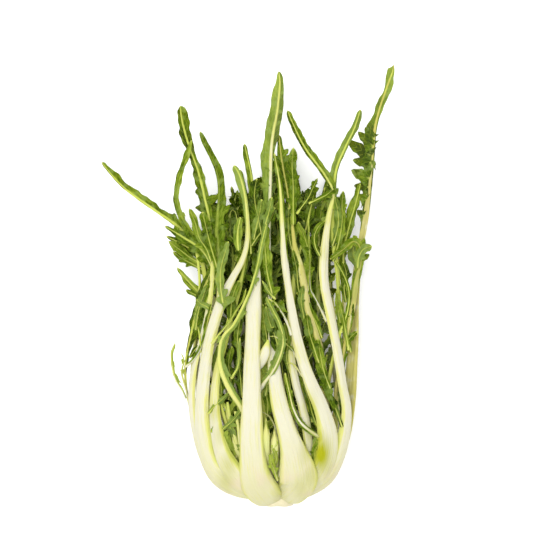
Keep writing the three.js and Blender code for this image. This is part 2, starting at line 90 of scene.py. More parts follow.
# ---- the leaves -----------------------------------------------------------------------------
# Lengths in mm. route: the middle line from root to tip as (across, along, height, width of the
# stalk or blade). back: which way the leaf's back looks at its root and at its tip, in degrees
# round the head, where 0 is up, 90 is to the right and 180 is down. blade: share of the leaf at
# which the stalk thins to a rib. wings: (place, left, right), the blade's reach beside the rib.
# lobes: (place, side, length, base, lean), where side is -1 for left and 1 for right as seen
# from above. A place above 1 is the distance along the head, up to 1 it is a share of the leaf.
# fringe: (from, to, pitch, left length, right length) for lobes spread along a stretch. tone: 0 is
# dark green and 1 is bright yellow green, and a pair goes from the blade's root to its tip. pale:
# the shares between which white turns to green. What a leaf doesn't say comes from LOOK, or from
# the look of its group.
FRONT_LEAVES = {
    "front_cut_leaf": dict(
        back=(-15, -8), blade=0.97, pale=(1.2, 1.4), tone=0.3,
        route=[
            (4, 5, 58, 24), (-5, 13, 80, 32), (-13, 30, 97, 30), (-16, 60, 107, 22), (-16, 90, 110, 19),
            (-16, 125, 108, 15), (-15, 160, 103, 14), (-14, 188, 97, 12.5), (-11, 203, 94, 6),
            (-9.5, 216, 92, 1.5),
        ],
        lobes=[(178, -1, 5, 3, 30), (190, -1, 6, 3, 35), (198, -1, 5, 2.5, 40), (206, -1, 4, 2, 50)],
    ),
    "front_centre_leaf": dict(
        back=(12, 0), blade=0.5, pale=(0.55, 1.25), tone=(0.32, 0.46), grey=(0.45, 0.55), rib=2.7,
        split=-0.3, wave=1.2, fold=24, ragged=0.03,
        route=[
            (11.5, 7, 58, 24), (20.5, 16.2, 79, 32.4), (25.5, 26, 91, 36), (24, 38, 99, 32),
            (21, 52, 104, 25), (15, 72, 107, 18), (8, 98, 108, 15), (4, 125, 103, 12), (2, 155, 95, 8),
            (0, 190, 86, 5), (-1, 235, 80, 3.6), (0, 270, 77, 3), (1, 300, 75, 2.8), (2, 330, 73, 2.6),
            (7, 360, 70, 2.2), (9, 385, 66, 1.8), (8, 395, 63, 1),
        ],
        wings=[
            (225, 0.3, 0.3), (245, 2, 1), (280, 6, 1.5), (300, 9, 1), (314, 10, 1.2), (326, 7.6, 3),
            (334, 7.6, 5.2), (346, 8, 5), (357, 7.2, 4.8), (371, 7, 4.2), (384, 3.4, 3.4), (391, 2.2, 2.4),
            (395, 1.6, 1.8),
        ],
        lobes=[(300, -1, 11, 5, 30), (286, -1, 13, 5, 20), (271, -1, 12, 5, 25), (288, 1, 7, 4, 40)],
    ),
    "front_long_leaf": dict(
        back=(42, 8), blade=0.86, pale=(0.7, 1.15),
        route=[
            (24, 10, 62, 18), (34, 20, 72, 24), (44, 32, 80, 27), (50, 48, 86, 27), (51, 68, 92, 22),
            (46, 90, 98, 16), (37, 112, 101, 13), (28, 138, 101, 10.5), (22, 165, 97, 8.5),
            (17, 195, 92, 6.5), (13, 225, 88, 5), (11, 255, 84, 4), (9, 290, 80, 3.5), (4, 320, 76, 1.5),
        ],
        wings=[(200, 0.3, 0.3), (235, 0.8, 1.2), (270, 1.2, 1.6), (300, 2.2, 2.2), (318, 1.2, 1.2)],
        lobes=[(245, 1, 5, 3, 45), (262, -1, 5, 3, 45)],
    ),
    "front_crossing_leaf": dict(
        back=(-20, -5), blade=0.3, pale=(-0.6, 1.2), tone=0.7, rib=2, fold=10, grey=0.8,
        route=[
            (-18, 66, 96, 3.4), (-24, 88, 102, 3.4), (-35, 106, 106, 3.4), (-43, 124, 107, 3.6),
            (-45, 138, 107, 3.6), (-42, 154, 107, 3.6), (-32, 166, 107, 3.6), (-21.8, 186, 104, 4),
            (-16.2, 200, 101, 4), (-10.8, 220, 96, 3.5), (-7.4, 238, 91, 3.5), (-3, 256, 87, 1.5),
        ],
        wings=[
            (66, 0.3, 0.6), (90, 0.8, 2.2), (138, 0.8, 3.2), (166, 0.8, 2.4), (188, 0.6, 1.2),
            (205, 0.6, 1.6), (225, 1.4, 2.6), (250, 2, 2),
        ],
        lobes=[(118, 1, 26, 3.5, 78), (175, 1, 7, 3, 50), (150, -1, 6, 3, 60), (205, 1, 6, 3, 45)],
    ),
    "front_crescent_leaf": dict(
        blade=0.15, pale=(-0.2, 1.2), tone=0.6, rib=1.4, grey=0.8,
        route=[
            (-11, 103, 98, 3), (-6, 112, 105, 4), (4, 126, 109, 4), (10, 140, 110, 4), (12, 151, 109, 4),
            (9, 166, 106, 4), (3, 178, 103, 3), (-3, 190, 100, 1.5),
        ],
        wings=[(98, 0.5, 0.5), (111, 2, 1.2), (135, 2.8, 1.8), (160, 2.4, 1.8), (188, 2.4, 2)],
        lobes=[(150, -1, 12, 4, 55), (122, -1, 8, 3, 60)],
    ),
    "front_curl_leaf": dict(
        back=(25, 5), blade=0.15, pale=(0.4, 1.2), tone=0.6, rib=2, fold=20,
        route=[
            (46, 64, 98, 2), (37, 70, 104, 3), (27, 79, 108, 3), (21, 91, 110, 3), (17, 107, 110, 3),
            (13.5, 123, 107, 1.2),
        ],
        wings=[(64, 0.5, 0.5), (74, 2, 1.6), (100, 2, 1.8), (120, 1.2, 1.2)],
        lobes=[(78, 1, 5, 3, 50), (92, -1, 4, 2.5, 55), (104, 1, 4, 2.5, 55)],
    ),
}
RIGHT_LEAVES = {
    "right_hooked_leaf": dict(
        back=(62, 15), blade=0.7, pale=(0.56, 0.9), tone=(0.52, 0.28), split=0.2, rib=1.3, ragged=0.03,
        fold=20,
        route=[
            (22, 11, 60, 16), (36, 17, 64, 21), (50.6, 27.2, 68, 22), (59.6, 43.3, 70, 21),
            (64.8, 60, 72, 19), (68.5, 88, 77, 14), (65, 110, 82, 12), (60.4, 140, 84, 11.5),
            (54, 175, 84, 10), (48.6, 205, 83, 9.5), (49, 230, 82, 8), (53, 262, 81, 5), (57, 284, 80, 3),
            (49.6, 299.6, 79, 2.4), (31.5, 324.8, 76, 2), (19.4, 350, 70, 1.6), (15.8, 359, 68, 1),
        ],
        wings=[
            (240, 0.3, 0.3), (268, 0.6, 0.6), (284, 1, 3.4), (300, 1.8, 5.4), (325, 2, 5), (338, 2.4, 4.2),
            (350, 2.6, 3.4), (358, 1.6, 2.4),
        ],
        lobes=[(284, 1, 8, 3.5, 20), (276, 1, 7, 3, 30), (286, -1, 7, 3, 40), (276, -1, 8, 3, 10)],
    ),
    "right_outer_leaf": dict(
        back=(148, 160), blade=0.62, pale=(0.6, 0.88), tone=(0.2, 0.65), rib=1.7, ragged=0.03, fold=20,
        grey=(0.15, 0.65), tan=0.85,
        route=[
            (24, 11, 54, 12), (40, 19, 52, 16), (54, 36, 50, 18), (65.5, 62, 53, 16), (72, 100, 56, 13),
            (75, 140, 58, 11), (77, 190, 57, 9), (80.5, 225, 56, 6.5), (87, 262, 56, 5), (91, 295, 57, 3.6),
            (94, 325, 58, 3), (97, 350, 57, 2.4), (106, 380, 53, 2), (112, 395, 50, 1.6), (113, 402, 48, 1),
        ],
        wings=[
            (240, 0.3, 0.3), (270, 2, 0.8), (300, 6, 1.6), (325, 8, 1.2), (340, 8, 0.8), (350, 4.2, 1.8),
            (358, 4, 2.6), (366, 3.4, 3.8), (374, 1.2, 6.8), (380, 1, 6.4), (386, 4.4, 3.4),
            (393, 5.6, 1.8), (398, 2.4, 1), (401, 1, 0.8),
        ],
        lobes=[
            (318, -1, 27, 7, 20), (327, -1, 19, 6, 40), (334, -1, 13, 5, 45), (312, -1, 17, 6, -5),
            (298, -1, 18, 7, 12), (290, -1, 13, 5, -5), (304, -1, 10, 4, 40), (278, -1, 9, 5, 25),
            (264, -1, 8, 4, 20), (310, 1, 5, 4, 50),
        ],
    ),
    "right_fork_leaf": dict(
        back=(95, 20), blade=0.62, pale=(0.1, 0.6), split=-0.15, grey=0.7, ragged=0.03,
        route=[
            (24, 6, 50, 8), (42, 20, 56, 11), (56, 50, 60, 11), (60, 90, 63, 10), (61, 130, 65, 9),
            (62, 170, 66, 8), (61, 210, 67, 7), (57, 245, 70, 5.5), (57, 275, 72, 4), (60, 305, 73, 3.5),
            (68, 325, 72, 3), (76, 342, 70, 2.5), (82, 360, 66, 1.2),
        ],
        wings=[
            (230, 0.5, 0.5), (265, 4, 2), (300, 4.6, 1.4), (320, 4.6, 1.8), (334, 3.8, 2.4),
            (344, 2.8, 3.6), (354, 2, 4.2), (360, 1.6, 2.6),
        ],
        lobes=[(258, -1, 10, 5, 20), (275, 1, 10, 5, 25), (290, -1, 8, 4, 35), (243, 1, 9, 4, 20)],
    ),
    "right_tan_leaf": dict(
        back=(55, 10), blade=0.74, tone=0.3, tan=0.8,
        route=[
            (20, 8, 52, 8), (36, 24, 62, 10), (46, 50, 71, 10), (50, 80, 77, 9.5), (49, 112, 81, 9),
            (45, 143, 83, 8.5), (40, 162, 83, 8), (34, 180, 82, 7.5), (31, 200, 81, 7), (27, 218, 79, 6.5),
            (23, 232, 77, 5), (20, 256, 74, 4), (16, 285, 71, 3.5), (11, 312, 69, 3), (8, 337, 66, 1.2),
        ],
        wings=[(225, 0.3, 0.3), (250, 1.5, 1.5), (285, 3, 3), (315, 4, 4), (332, 1.5, 2)],
        lobes=[
            (318, 1, 9, 4, 40), (308, 1, 13, 5, 45), (312, -1, 8, 4, 40), (293, 1, 10, 5, 30),
            (292, -1, 8, 4, 30), (272, 1, 11, 5, 20), (268, -1, 9, 5, 25), (250, 1, 9, 4, 25),
        ],
    ),
    "right_inner_leaf": dict(
        back=(30, 0), blade=0.72, pale=(0.35, 0.8), tone=0.3, fringe=(170, 255, 11, 9, 9),
        route=[
            (18, 14, 66, 8), (30, 28, 78, 9), (34.5, 50, 91, 9), (33, 72, 97, 8.5), (29, 92, 99, 8),
            (24, 110, 99, 7.5), (20, 132, 95, 6.5), (18, 160, 86, 5.5), (20, 190, 78, 5),
            (24, 218, 71, 4.5), (30, 242, 67, 4), (36, 266, 66, 3.5), (41, 291, 66, 1.5),
        ],
        wings=[(150, 0.4, 0.4), (190, 2, 2), (230, 3, 3), (266, 4, 4), (287, 2, 2)],
        lobes=[(277, -1, 8, 4, 30), (276, 1, 8, 4, 30), (262, -1, 12, 5, 15), (260, 1, 11, 5, 15)],
    ),
    "right_curled_leaf": dict(
        back=(80, 20), blade=0.6, pale=(0.62, 0.9), tan=0.9, tone=0.62, fold=8, rib=1.4, veined=0.6,
        ragged=0.03,
        route=[
            (18, 12, 60, 7), (36, 26, 63, 8), (52, 54, 66, 8), (58, 86, 69, 7.5), (60, 112, 72, 6.5),
            (66, 140, 73, 7), (71.5, 165, 74, 7.4), (75.5, 188, 74, 7.2), (78.5, 208, 75, 6),
            (82, 224, 77, 4.4), (80, 237, 81, 3), (75, 240, 85, 3), (66, 233, 88, 2.4), (54, 224, 89, 1.2),
        ],
        wings=[
            (0.5, 0.5, 0.5), (0.62, 2.5, 2.5), (0.72, 3, 3), (0.82, 3.4, 3.4), (0.93, 3.4, 3.4),
            (1, 1.6, 1.6),
        ],
        lobes=[(0.74, 1, 11, 4, 40), (0.7, 1, 9, 4, 0), (0.8, 1, 8, 4, 60), (0.68, -1, 8, 4, 30)],
    ),
    "right_serrated_leaf": dict(
        back=(70, 20), blade=0.5, pale=(0.1, 0.5), rib=0.9, fringe=(140, 218, 7, 4, 4),
        route=[
            (14, 20, 60, 6), (30, 40, 64, 6), (43, 70, 68, 6), (52, 110, 73, 6), (57, 135, 76, 5),
            (64, 160, 78, 4.5), (70, 178, 80, 4), (71, 196, 81, 3.5), (66, 211, 80, 3), (59, 223, 79, 1.5),
        ],
        wings=[(0.5, 0.4, 0.4), (0.65, 1.6, 1.6), (0.8, 2, 2), (0.95, 1.4, 1.4)],
    ),
    "right_broad_leaf": dict(
        back=(110, 30), blade=0.6, pale=(0.45, 0.8), rib=1, ragged=0.04, veined=0.8, fold=18,
        route=[
            (20, 8, 44, 8), (40, 22, 42, 9), (56, 48, 38, 9), (64, 84, 36, 8), (66, 124, 38, 7.5),
            (67, 165, 44, 7), (67, 200, 52, 5.5), (67, 232, 60, 4), (72, 255, 62, 3.5), (78, 276, 62, 3),
            (82, 293, 60, 1.2),
        ],
        wings=[
            (190, 0.4, 0.4), (215, 4, 3), (232, 3.6, 4.6), (250, 4.6, 5.8), (268, 5.4, 4.6),
            (282, 3.6, 3.4), (291, 2, 2),
        ],
        lobes=[(226, 1, 6, 4, 25), (244, 1, 4.5, 4, 35)],
    ),
}
LEFT_LEAVES = {
    "left_white_leaf": dict(
        back=(-50, -10), blade=0.76, pale=(0.62, 1), tone=1, grey=1, rib=1.9, ragged=0.03,
        route=[
            (-8, 10, 62, 17), (-25.8, 16.8, 73, 21), (-42, 27.2, 80, 23), (-54, 44.6, 83, 21),
            (-60, 72, 85, 18), (-60.5, 98, 88, 16), (-58.5, 122, 89, 14), (-54.5, 148, 89, 12.5),
            (-49.5, 168, 89, 11), (-42, 190, 89, 9.5), (-33, 208, 88, 6.6), (-24.5, 224, 86, 4.8),
            (-20.5, 240, 84, 3.8), (-20.5, 262, 82, 3.4), (-23, 285, 80, 2.6), (-27.5, 301, 78, 2),
            (-32.5, 309, 76, 1.6),
        ],
        wings=[
            (222, 0.3, 0.3), (250, 0.8, 0.6), (268, 1.8, 0.8), (282, 3.8, 0.9), (294, 5.4, 1.2),
            (302, 5, 1.6), (308, 2.8, 2),
        ],
        lobes=[(304, -1, 3.5, 3, -10)],
    ),
    "left_slim_leaf": dict(
        back=(-38, -10), pale=(0.3, 0.62), rib=1.1, ragged=0.03,
        route=[
            (-6, 12, 58, 18), (-17, 17, 78, 25), (-31, 30, 89, 24), (-42, 50, 93, 18), (-47.5, 72, 95, 13),
            (-49.5, 96, 94, 10.5), (-47, 125, 92, 7), (-41, 148, 90, 6), (-34, 176, 84, 5.5),
            (-26, 205, 76, 5), (-20, 235, 72, 4), (-16, 265, 72, 3.5), (-16, 295, 71, 3),
            (-23, 329, 68, 1.2),
        ],
        wings=[
            (190, 0.4, 0.4), (225, 2, 2), (265, 4, 1), (295, 4.6, 0.8), (312, 4.4, 1), (322, 3.4, 1.4),
            (329, 1.8, 1.4),
        ],
        lobes=[
            (268, 1, 8, 4, 25), (250, 1, 10, 4, 25), (248, -1, 9, 4, 25), (228, -1, 9, 4, 20),
            (230, 1, 8, 4, 30),
        ],
    ),
    "left_tall_leaf": dict(
        back=(-68, -15), blade=0.58, pale=(0.4, 0.8), tone=0.3, split=0.1, rib=1.6, wave=1.6, fold=20,
        route=[
            (-8, 9, 56, 12), (-29.8, 14.8, 62, 18), (-48, 26, 66, 19), (-59, 47, 70, 17), (-67, 74, 74, 13),
            (-70, 100, 77, 11), (-68, 125, 79, 8.5), (-63, 146, 79, 7), (-57, 170, 76, 6.5),
            (-53, 200, 73, 5.5), (-52, 228, 70, 4.5), (-54, 256, 68, 4), (-59, 280, 66, 3.5),
            (-65, 304, 64, 2.6), (-73, 326, 62, 2.2), (-80, 350, 58, 1.8), (-82, 364, 55, 1),
        ],
        wings=[
            (235, 0.4, 0.4), (255, 3, 2.5), (270, 5, 3), (282, 6.5, 3.4), (298, 6, 3.6), (310, 4, 3.2),
            (318, 3.4, 2.4), (326, 5, 3.2), (338, 5.8, 6), (350, 4.6, 6), (358, 3, 5.2), (364, 1.6, 3.6),
        ],
        lobes=[
            (286, -1, 9, 6, 10), (276, 1, 13, 5, 12), (271, -1, 13, 5, 0), (262, 1, 15, 6, 12),
            (296, 1, 5, 4, 30), (255, -1, 10, 5, 15), (250, 1, 12, 5, 15),
        ],
    ),
    "left_rim_leaf": dict(
        back=(-88, -30), blade=0.5, pale=(0, 0.35), tone=0.2, tan=0.5, rib=1.2,
        route=[
            (-6, 10, 58, 9), (-26, 18, 56, 12), (-48, 34, 57, 12), (-63, 57, 58, 9), (-71, 84, 60, 5),
            (-76, 110, 62, 4), (-76.4, 130, 64, 4), (-72.4, 152, 67, 4), (-67, 175, 69, 4),
            (-59, 200, 67, 3.5), (-50, 218, 67, 3), (-40, 234, 68, 1.5),
        ],
        wings=[(118, 0.4, 0.4), (140, 1.5, 3), (165, 4, 7), (195, 5, 8), (220, 4, 6), (232, 1.4, 1.4)],
        lobes=[(160, 1, 8, 4, 45), (180, 1, 9, 5, 40), (205, 1, 8, 4, 35), (205, -1, 6, 4, 40)],
    ),
    "left_frill_leaf": dict(
        back=(-60, -40), blade=0, pale=(0, 1.5), tone=0.9, rib=1.2,
        route=[
            (-76, 98, 69, 2), (-79, 105, 69, 2), (-85, 115, 69, 2), (-88, 126, 68, 2), (-89, 138, 67, 2),
            (-86, 148, 66, 1),
        ],
        wings=[(98, 0.8, 0.8), (115, 1.8, 1.4), (140, 1.5, 1.4)],
        lobes=[(113, 1, 8, 2.5, 60), (128, 1, 4, 2, 60)],
    ),
    "left_strap_leaf": dict(
        back=(-100, -25), pale=(0.3, 0.64), tone=0.45, wave=1.6,
        route=[
            (-6, 10, 52, 10), (-26, 18, 48, 14), (-48, 36, 45, 15), (-64, 66, 44, 12), (-70, 98, 44, 8),
            (-70, 130, 45, 7), (-66, 160, 47, 6.5), (-60, 188, 49, 6), (-60, 212, 49, 5), (-68, 236, 50, 4),
            (-84, 254, 52, 3.5), (-101, 266.4, 53, 3.5), (-120, 279.4, 52, 3), (-137, 293, 50, 2),
            (-154, 313, 47, 1),
        ],
        wings=[
            (225, 0.4, 0.4), (240, 1, 3), (256, 0.8, 5), (264, 0.8, 4), (272, 0.8, 5.6), (284, 0.8, 5),
            (296, 0.9, 5), (308, 1.2, 2.6),
        ],
        lobes=[(258, 1, 8, 4, 20), (250, 1, 9, 4, 20), (252, -1, 7, 4, 20), (244, -1, 8, 4, 30)],
    ),
    "left_pale_leaf": dict(
        back=(-118, -25), blade=0.6, pale=(0.25, 0.6), tone=0.6, split=0.15, rib=1.1, veined=0.25,
        ragged=0.03,
        route=[
            (-4, 14, 48, 9), (-22, 24, 38, 13), (-43, 46, 31, 14), (-60, 78, 29, 11), (-66, 112, 30, 8),
            (-66, 148, 35, 6.5), (-64, 182, 44, 6), (-64, 210, 53, 5), (-68, 236, 57, 4),
            (-76, 252, 60, 3.5), (-82.2, 264, 64, 3.5), (-85.2, 282, 68, 3), (-82.4, 299, 70, 3),
            (-76.5, 316, 71, 2.5), (-71, 332, 71, 1),
        ],
        wings=[
            (225, 0.4, 0.4), (246, 3, 3.4), (262, 2, 3), (275, 2.6, 2.6), (295, 2.4, 3), (318, 2.8, 3),
            (330, 1.2, 1.4),
        ],
        lobes=[(262, 1, 6, 4, 30), (246, -1, 9, 5, 20), (244, 1, 9, 5, 20)],
    ),
    "left_dark_leaf": dict(
        back=(-70, -10), blade=0.6, pale=(0.3, 0.64), tone=0.45, rib=1.2, ragged=0.03, fold=20, veined=0.5,
        route=[
            (-2, 14, 62, 7), (-18, 26, 66, 8), (-36, 48, 70, 8), (-46, 76, 74, 7.5), (-50, 105, 76, 6.5),
            (-49, 140, 76, 6), (-47, 175, 76, 5.5), (-46, 205, 74, 5), (-47, 230, 73, 4.5),
            (-48, 252, 73, 4), (-46, 277, 74, 3), (-46, 292, 74, 2.6), (-48.4, 305, 73, 2.4),
            (-53.2, 317, 71, 2), (-59.2, 329, 68, 1.8), (-63.4, 340, 65, 1),
        ],
        wings=[
            (200, 0.4, 0.4), (230, 1, 5), (260, 1, 5.6), (285, 1, 5), (305, 1.4, 4.6), (322, 2, 3.4),
            (334, 2, 2.4), (340, 1.6, 1.8),
        ],
        lobes=[
            (266, 1, 12, 5, 25), (250, 1, 12, 5, 25), (235, 1, 11, 5, 20), (255, -1, 8, 4, 25),
            (236, -1, 9, 5, 15), (280, 1, 6, 4, 40),
        ],
    ),
    "left_fan_leaf_upper": dict(
        back=(-90, -15), blade=0.62, pale=(0.4, 1), tone=0.45,
        route=[
            (-2, 20, 54, 6), (-14, 34, 54, 7), (-32, 58, 54, 7), (-46, 90, 56, 6.5), (-52, 125, 58, 6),
            (-53, 160, 60, 5.5), (-51, 190, 61, 4.5), (-52, 214, 62, 4), (-61, 232, 65, 3.5),
            (-77.5, 243.5, 64, 3), (-95.6, 254.5, 61, 1.2),
        ],
        wings=[(190, 0.4, 0.4), (214, 3, 3), (232, 5, 5), (243, 5, 5), (251, 1.5, 1.5)],
        lobes=[
            (0.94, 1, 7, 4, 30), (0.9, 1, 10, 4, 20), (0.85, 1, 12, 5, 15), (0.8, 1, 12, 5, 10),
            (0.9, -1, 9, 4, 25), (0.83, -1, 10, 5, 20), (0.76, -1, 10, 5, 15),
        ],
    ),
    "left_fan_leaf_lower": dict(
        back=(-110, -25), blade=0.62, pale=(0.4, 1), tone=0.35,
        route=[
            (-2, 20, 48, 6), (-14, 34, 44, 7), (-32, 58, 40, 7), (-45, 90, 38, 6.5), (-50, 125, 37, 6),
            (-51, 160, 38, 5.5), (-51, 190, 39, 4.5), (-54, 210, 40, 4), (-62, 226, 42, 3.5),
            (-79, 237.5, 43, 3), (-95.2, 245.6, 42, 1.2),
        ],
        wings=[(185, 0.4, 0.4), (210, 3, 3), (226, 4, 4), (237, 4, 4), (244, 1.2, 1.2)],
        lobes=[
            (0.93, 1, 8, 4, 30), (0.87, 1, 10, 4, 20), (0.8, 1, 11, 5, 15), (0.92, -1, 7, 4, 30),
            (0.85, -1, 10, 4, 20), (0.78, -1, 10, 5, 15), (0.72, -1, 12, 5, 10),
        ],
    ),
    "left_finger_leaf": dict(
        back=(-120, -30), blade=0.55, pale=(0.4, 0.9), tone=0.6,
        route=[
            (-2, 24, 46, 6), (-12, 42, 36, 6), (-28, 66, 28, 6), (-38, 98, 25, 6), (-44, 132, 25, 6),
            (-50, 160, 29, 5), (-57, 180, 33, 4), (-65.6, 194.4, 35, 3.5), (-76.8, 206.2, 36, 3),
            (-85.4, 217, 35, 1.2),
        ],
        wings=[(150, 0.675, 0.5), (175, 4.45, 3), (195, 4.45, 3), (207, 3.64, 2.4), (215, 1.75, 1)],
        lobes=[(178, -1, 12, 4, 40), (170, -1, 10, 4, 30), (182, 1, 9, 4, 30), (160, 1, 8, 4, 30)],
    ),
}
UNDER_LEAVES = {
    "under_leaf_middle": dict(
        back=(180, 180), tone=0.4, fringe=(195, 303, 14, 14, 14),
        route=[
            (8, 5, 44, 14), (6, 14, 27, 23), (4, 32, 11, 27), (2, 60, 4, 25), (1, 95, 3.8, 20),
            (0, 135, 3.1, 14), (-2, 180, 2.3, 9), (-4, 225, 1.9, 6), (-5, 262, 1.8, 4), (-5, 290, 2, 3),
            (-4, 313, 2.4, 1.5),
        ],
        wings=[(190, 0.4, 0.4), (225, 3, 3), (262, 5, 5), (290, 5, 5), (309, 1.5, 1.5)],
    ),
    "under_leaf_right": dict(
        back=(152, 178), tone=0.35, fringe=(190, 312, 13, 13, 13),
        route=[
            (14, 5, 46, 12), (22, 14, 31, 20), (31, 32, 15, 25), (36, 60, 6, 23), (36, 95, 3.8, 18),
            (33, 135, 3, 13), (29, 180, 2.4, 9), (26, 225, 1.9, 6), (24, 262, 1.8, 4), (22, 296, 2, 3),
            (20, 322, 3, 1.5),
        ],
        wings=[(190, 0.4, 0.4), (225, 3, 3), (262, 5, 5), (296, 5, 5), (318, 1.5, 1.5)],
    ),
    "under_leaf_left": dict(
        back=(-155, -178), tone=0.4, fringe=(190, 268, 13, 12, 12),
        route=[
            (0, 5, 46, 12), (-10, 14, 31, 20), (-21, 32, 15, 25), (-28, 60, 6, 23), (-30, 95, 3.8, 18),
            (-29, 135, 3, 13), (-27, 180, 2.4, 9), (-26, 225, 1.9, 6), (-25, 262, 1.8, 4), (-25, 290, 2, 3),
            (-28, 308, 3, 1.5),
        ],
        wings=[(190, 0.4, 0.4), (225, 3, 3), (250, 5, 5), (275, 4, 4), (290, 2.5, 2.5), (306, 1.5, 1.5)],
    ),
    "under_leaf_outer_right": dict(
        back=(125, 172), tone=0.45, fringe=(185, 296, 12, 12, 10),
        route=[
            (22, 6, 50, 11), (38, 16, 40, 18), (52, 34, 29, 21), (62, 60, 23, 19), (64, 95, 19, 15),
            (61, 135, 14, 11), (56, 180, 8, 8), (52, 222, 4, 6), (50, 255, 2.4, 4), (52, 283, 2.2, 3),
            (56, 306, 3, 1.5),
        ],
        wings=[(190, 0.4, 0.4), (222, 3, 3), (255, 4.5, 4.5), (283, 4.5, 4.5), (302, 1.5, 1.5)],
    ),
    "under_leaf_outer_left": dict(
        back=(-133, -172), tone=0.4, fringe=(185, 262, 12, 10, 12),
        route=[
            (-4, 6, 50, 11), (-20, 16, 38, 17), (-36, 34, 26, 19), (-48, 60, 18, 17), (-53, 95, 13, 14),
            (-52, 135, 9, 11), (-49, 180, 5, 8), (-48, 222, 2.4, 6), (-54, 255, 2.2, 4), (-61, 280, 2.2, 3),
            (-66, 298, 3, 1.5),
        ],
        wings=[(190, 0.4, 0.4), (222, 3, 3), (250, 4.5, 4.5), (275, 3, 3), (295, 1.5, 1.5)],
    ),
}
# The middle leaves' tones are set low: their own darker green, lowered further as painted shade for their
# place deep inside the head.
MIDDLE_LEAVES = {
    "middle_leaf_top": middle_leaf(
        (0, 0), 0.21, (135, 290, 10, 13, 13),
        [
            (5, 28, 66), (0, 55, 80), (-4, 90, 88), (-6, 130, 86), (-8, 170, 77), (-10, 205, 69),
            (-10, 240, 65), (-9, 275, 63), (-6, 300, 62),
        ],
        pale=(-1.2, -0.6),
    ),
    "middle_leaf_upper_right": middle_leaf(
        (40, 5), 0.16, (130, 282, 10, 13, 13),
        [
            (12, 28, 64), (20, 55, 74), (26, 90, 80), (28, 130, 78), (26, 170, 70), (22, 205, 62),
            (20, 235, 60), (22, 265, 59), (26, 290, 58),
        ],
    ),
    "middle_leaf_right": middle_leaf(
        (80, 15), 0.26, (130, 282, 10, 14, 14),
        [
            (16, 28, 58), (30, 55, 59), (40, 90, 59), (44, 130, 57), (44, 170, 56), (43, 205, 55),
            (44, 235, 55), (46, 265, 55), (50, 290, 54),
        ],
    ),
    "middle_leaf_lower_right": middle_leaf(
        (120, 165), 0.16, (130, 268, 11, 13, 13),
        [
            (16, 28, 52), (28, 55, 46), (36, 90, 42), (40, 130, 40), (42, 170, 39), (44, 205, 38),
            (50, 232, 38), (58, 256, 38), (66, 276, 37),
        ],
    ),
    "middle_leaf_under_right": middle_leaf(
        (160, 175), 0.21, (140, 270, 12, 14, 14),
        [
            (10, 28, 48), (14, 55, 36), (16, 90, 28), (18, 130, 24), (20, 170, 21), (22, 205, 19),
            (24, 240, 18), (27, 265, 18), (30, 286, 18),
        ],
    ),
    "middle_leaf_under_left": middle_leaf(
        (-160, -175), 0.16, (140, 284, 12, 14, 14),
        [
            (4, 28, 48), (-6, 55, 36), (-12, 90, 28), (-15, 130, 24), (-17, 170, 21), (-20, 205, 19),
            (-24, 238, 18), (-30, 268, 18), (-36, 292, 18),
        ],
    ),
    "middle_leaf_lower_left": middle_leaf(
        (-120, -165), 0.11, (130, 276, 11, 13, 13),
        [
            (0, 28, 52), (-14, 55, 47), (-26, 90, 44), (-32, 130, 43), (-35, 170, 42), (-38, 205, 41),
            (-42, 234, 39), (-48, 260, 37), (-54, 284, 36),
        ],
    ),
    "middle_leaf_left": middle_leaf(
        (-80, -15), 0.16, (125, 262, 10, 14, 14),
        [
            (-2, 28, 58), (-16, 55, 62), (-28, 90, 64), (-34, 130, 64), (-36, 165, 62), (-34, 200, 59),
            (-34, 228, 57), (-36, 252, 56), (-38, 274, 56),
        ],
        wings=[(120, 0.4, 0.4), (160, 2, 2), (205, 4, 4), (232, 5, 5), (262, 4, 4), (271, 1, 1)],
    ),
    "middle_leaf_centre": dict(
        back=(180, 180), tone=0.11, fringe=(130, 308, 11, 15, 15),
        route=[
            (8, 32, 52, 5), (6, 60, 47, 6), (4, 100, 44, 6), (3, 140, 43, 6), (4, 180, 43, 5),
            (5, 215, 43, 4.5), (8, 250, 44, 3.5), (6, 285, 45, 3), (2, 318, 46, 1.5),
        ],
        wings=[(130, 0.4, 0.4), (170, 2, 2), (215, 4, 4), (250, 5, 5), (285, 4, 4), (314, 1, 1)],
    ),
}
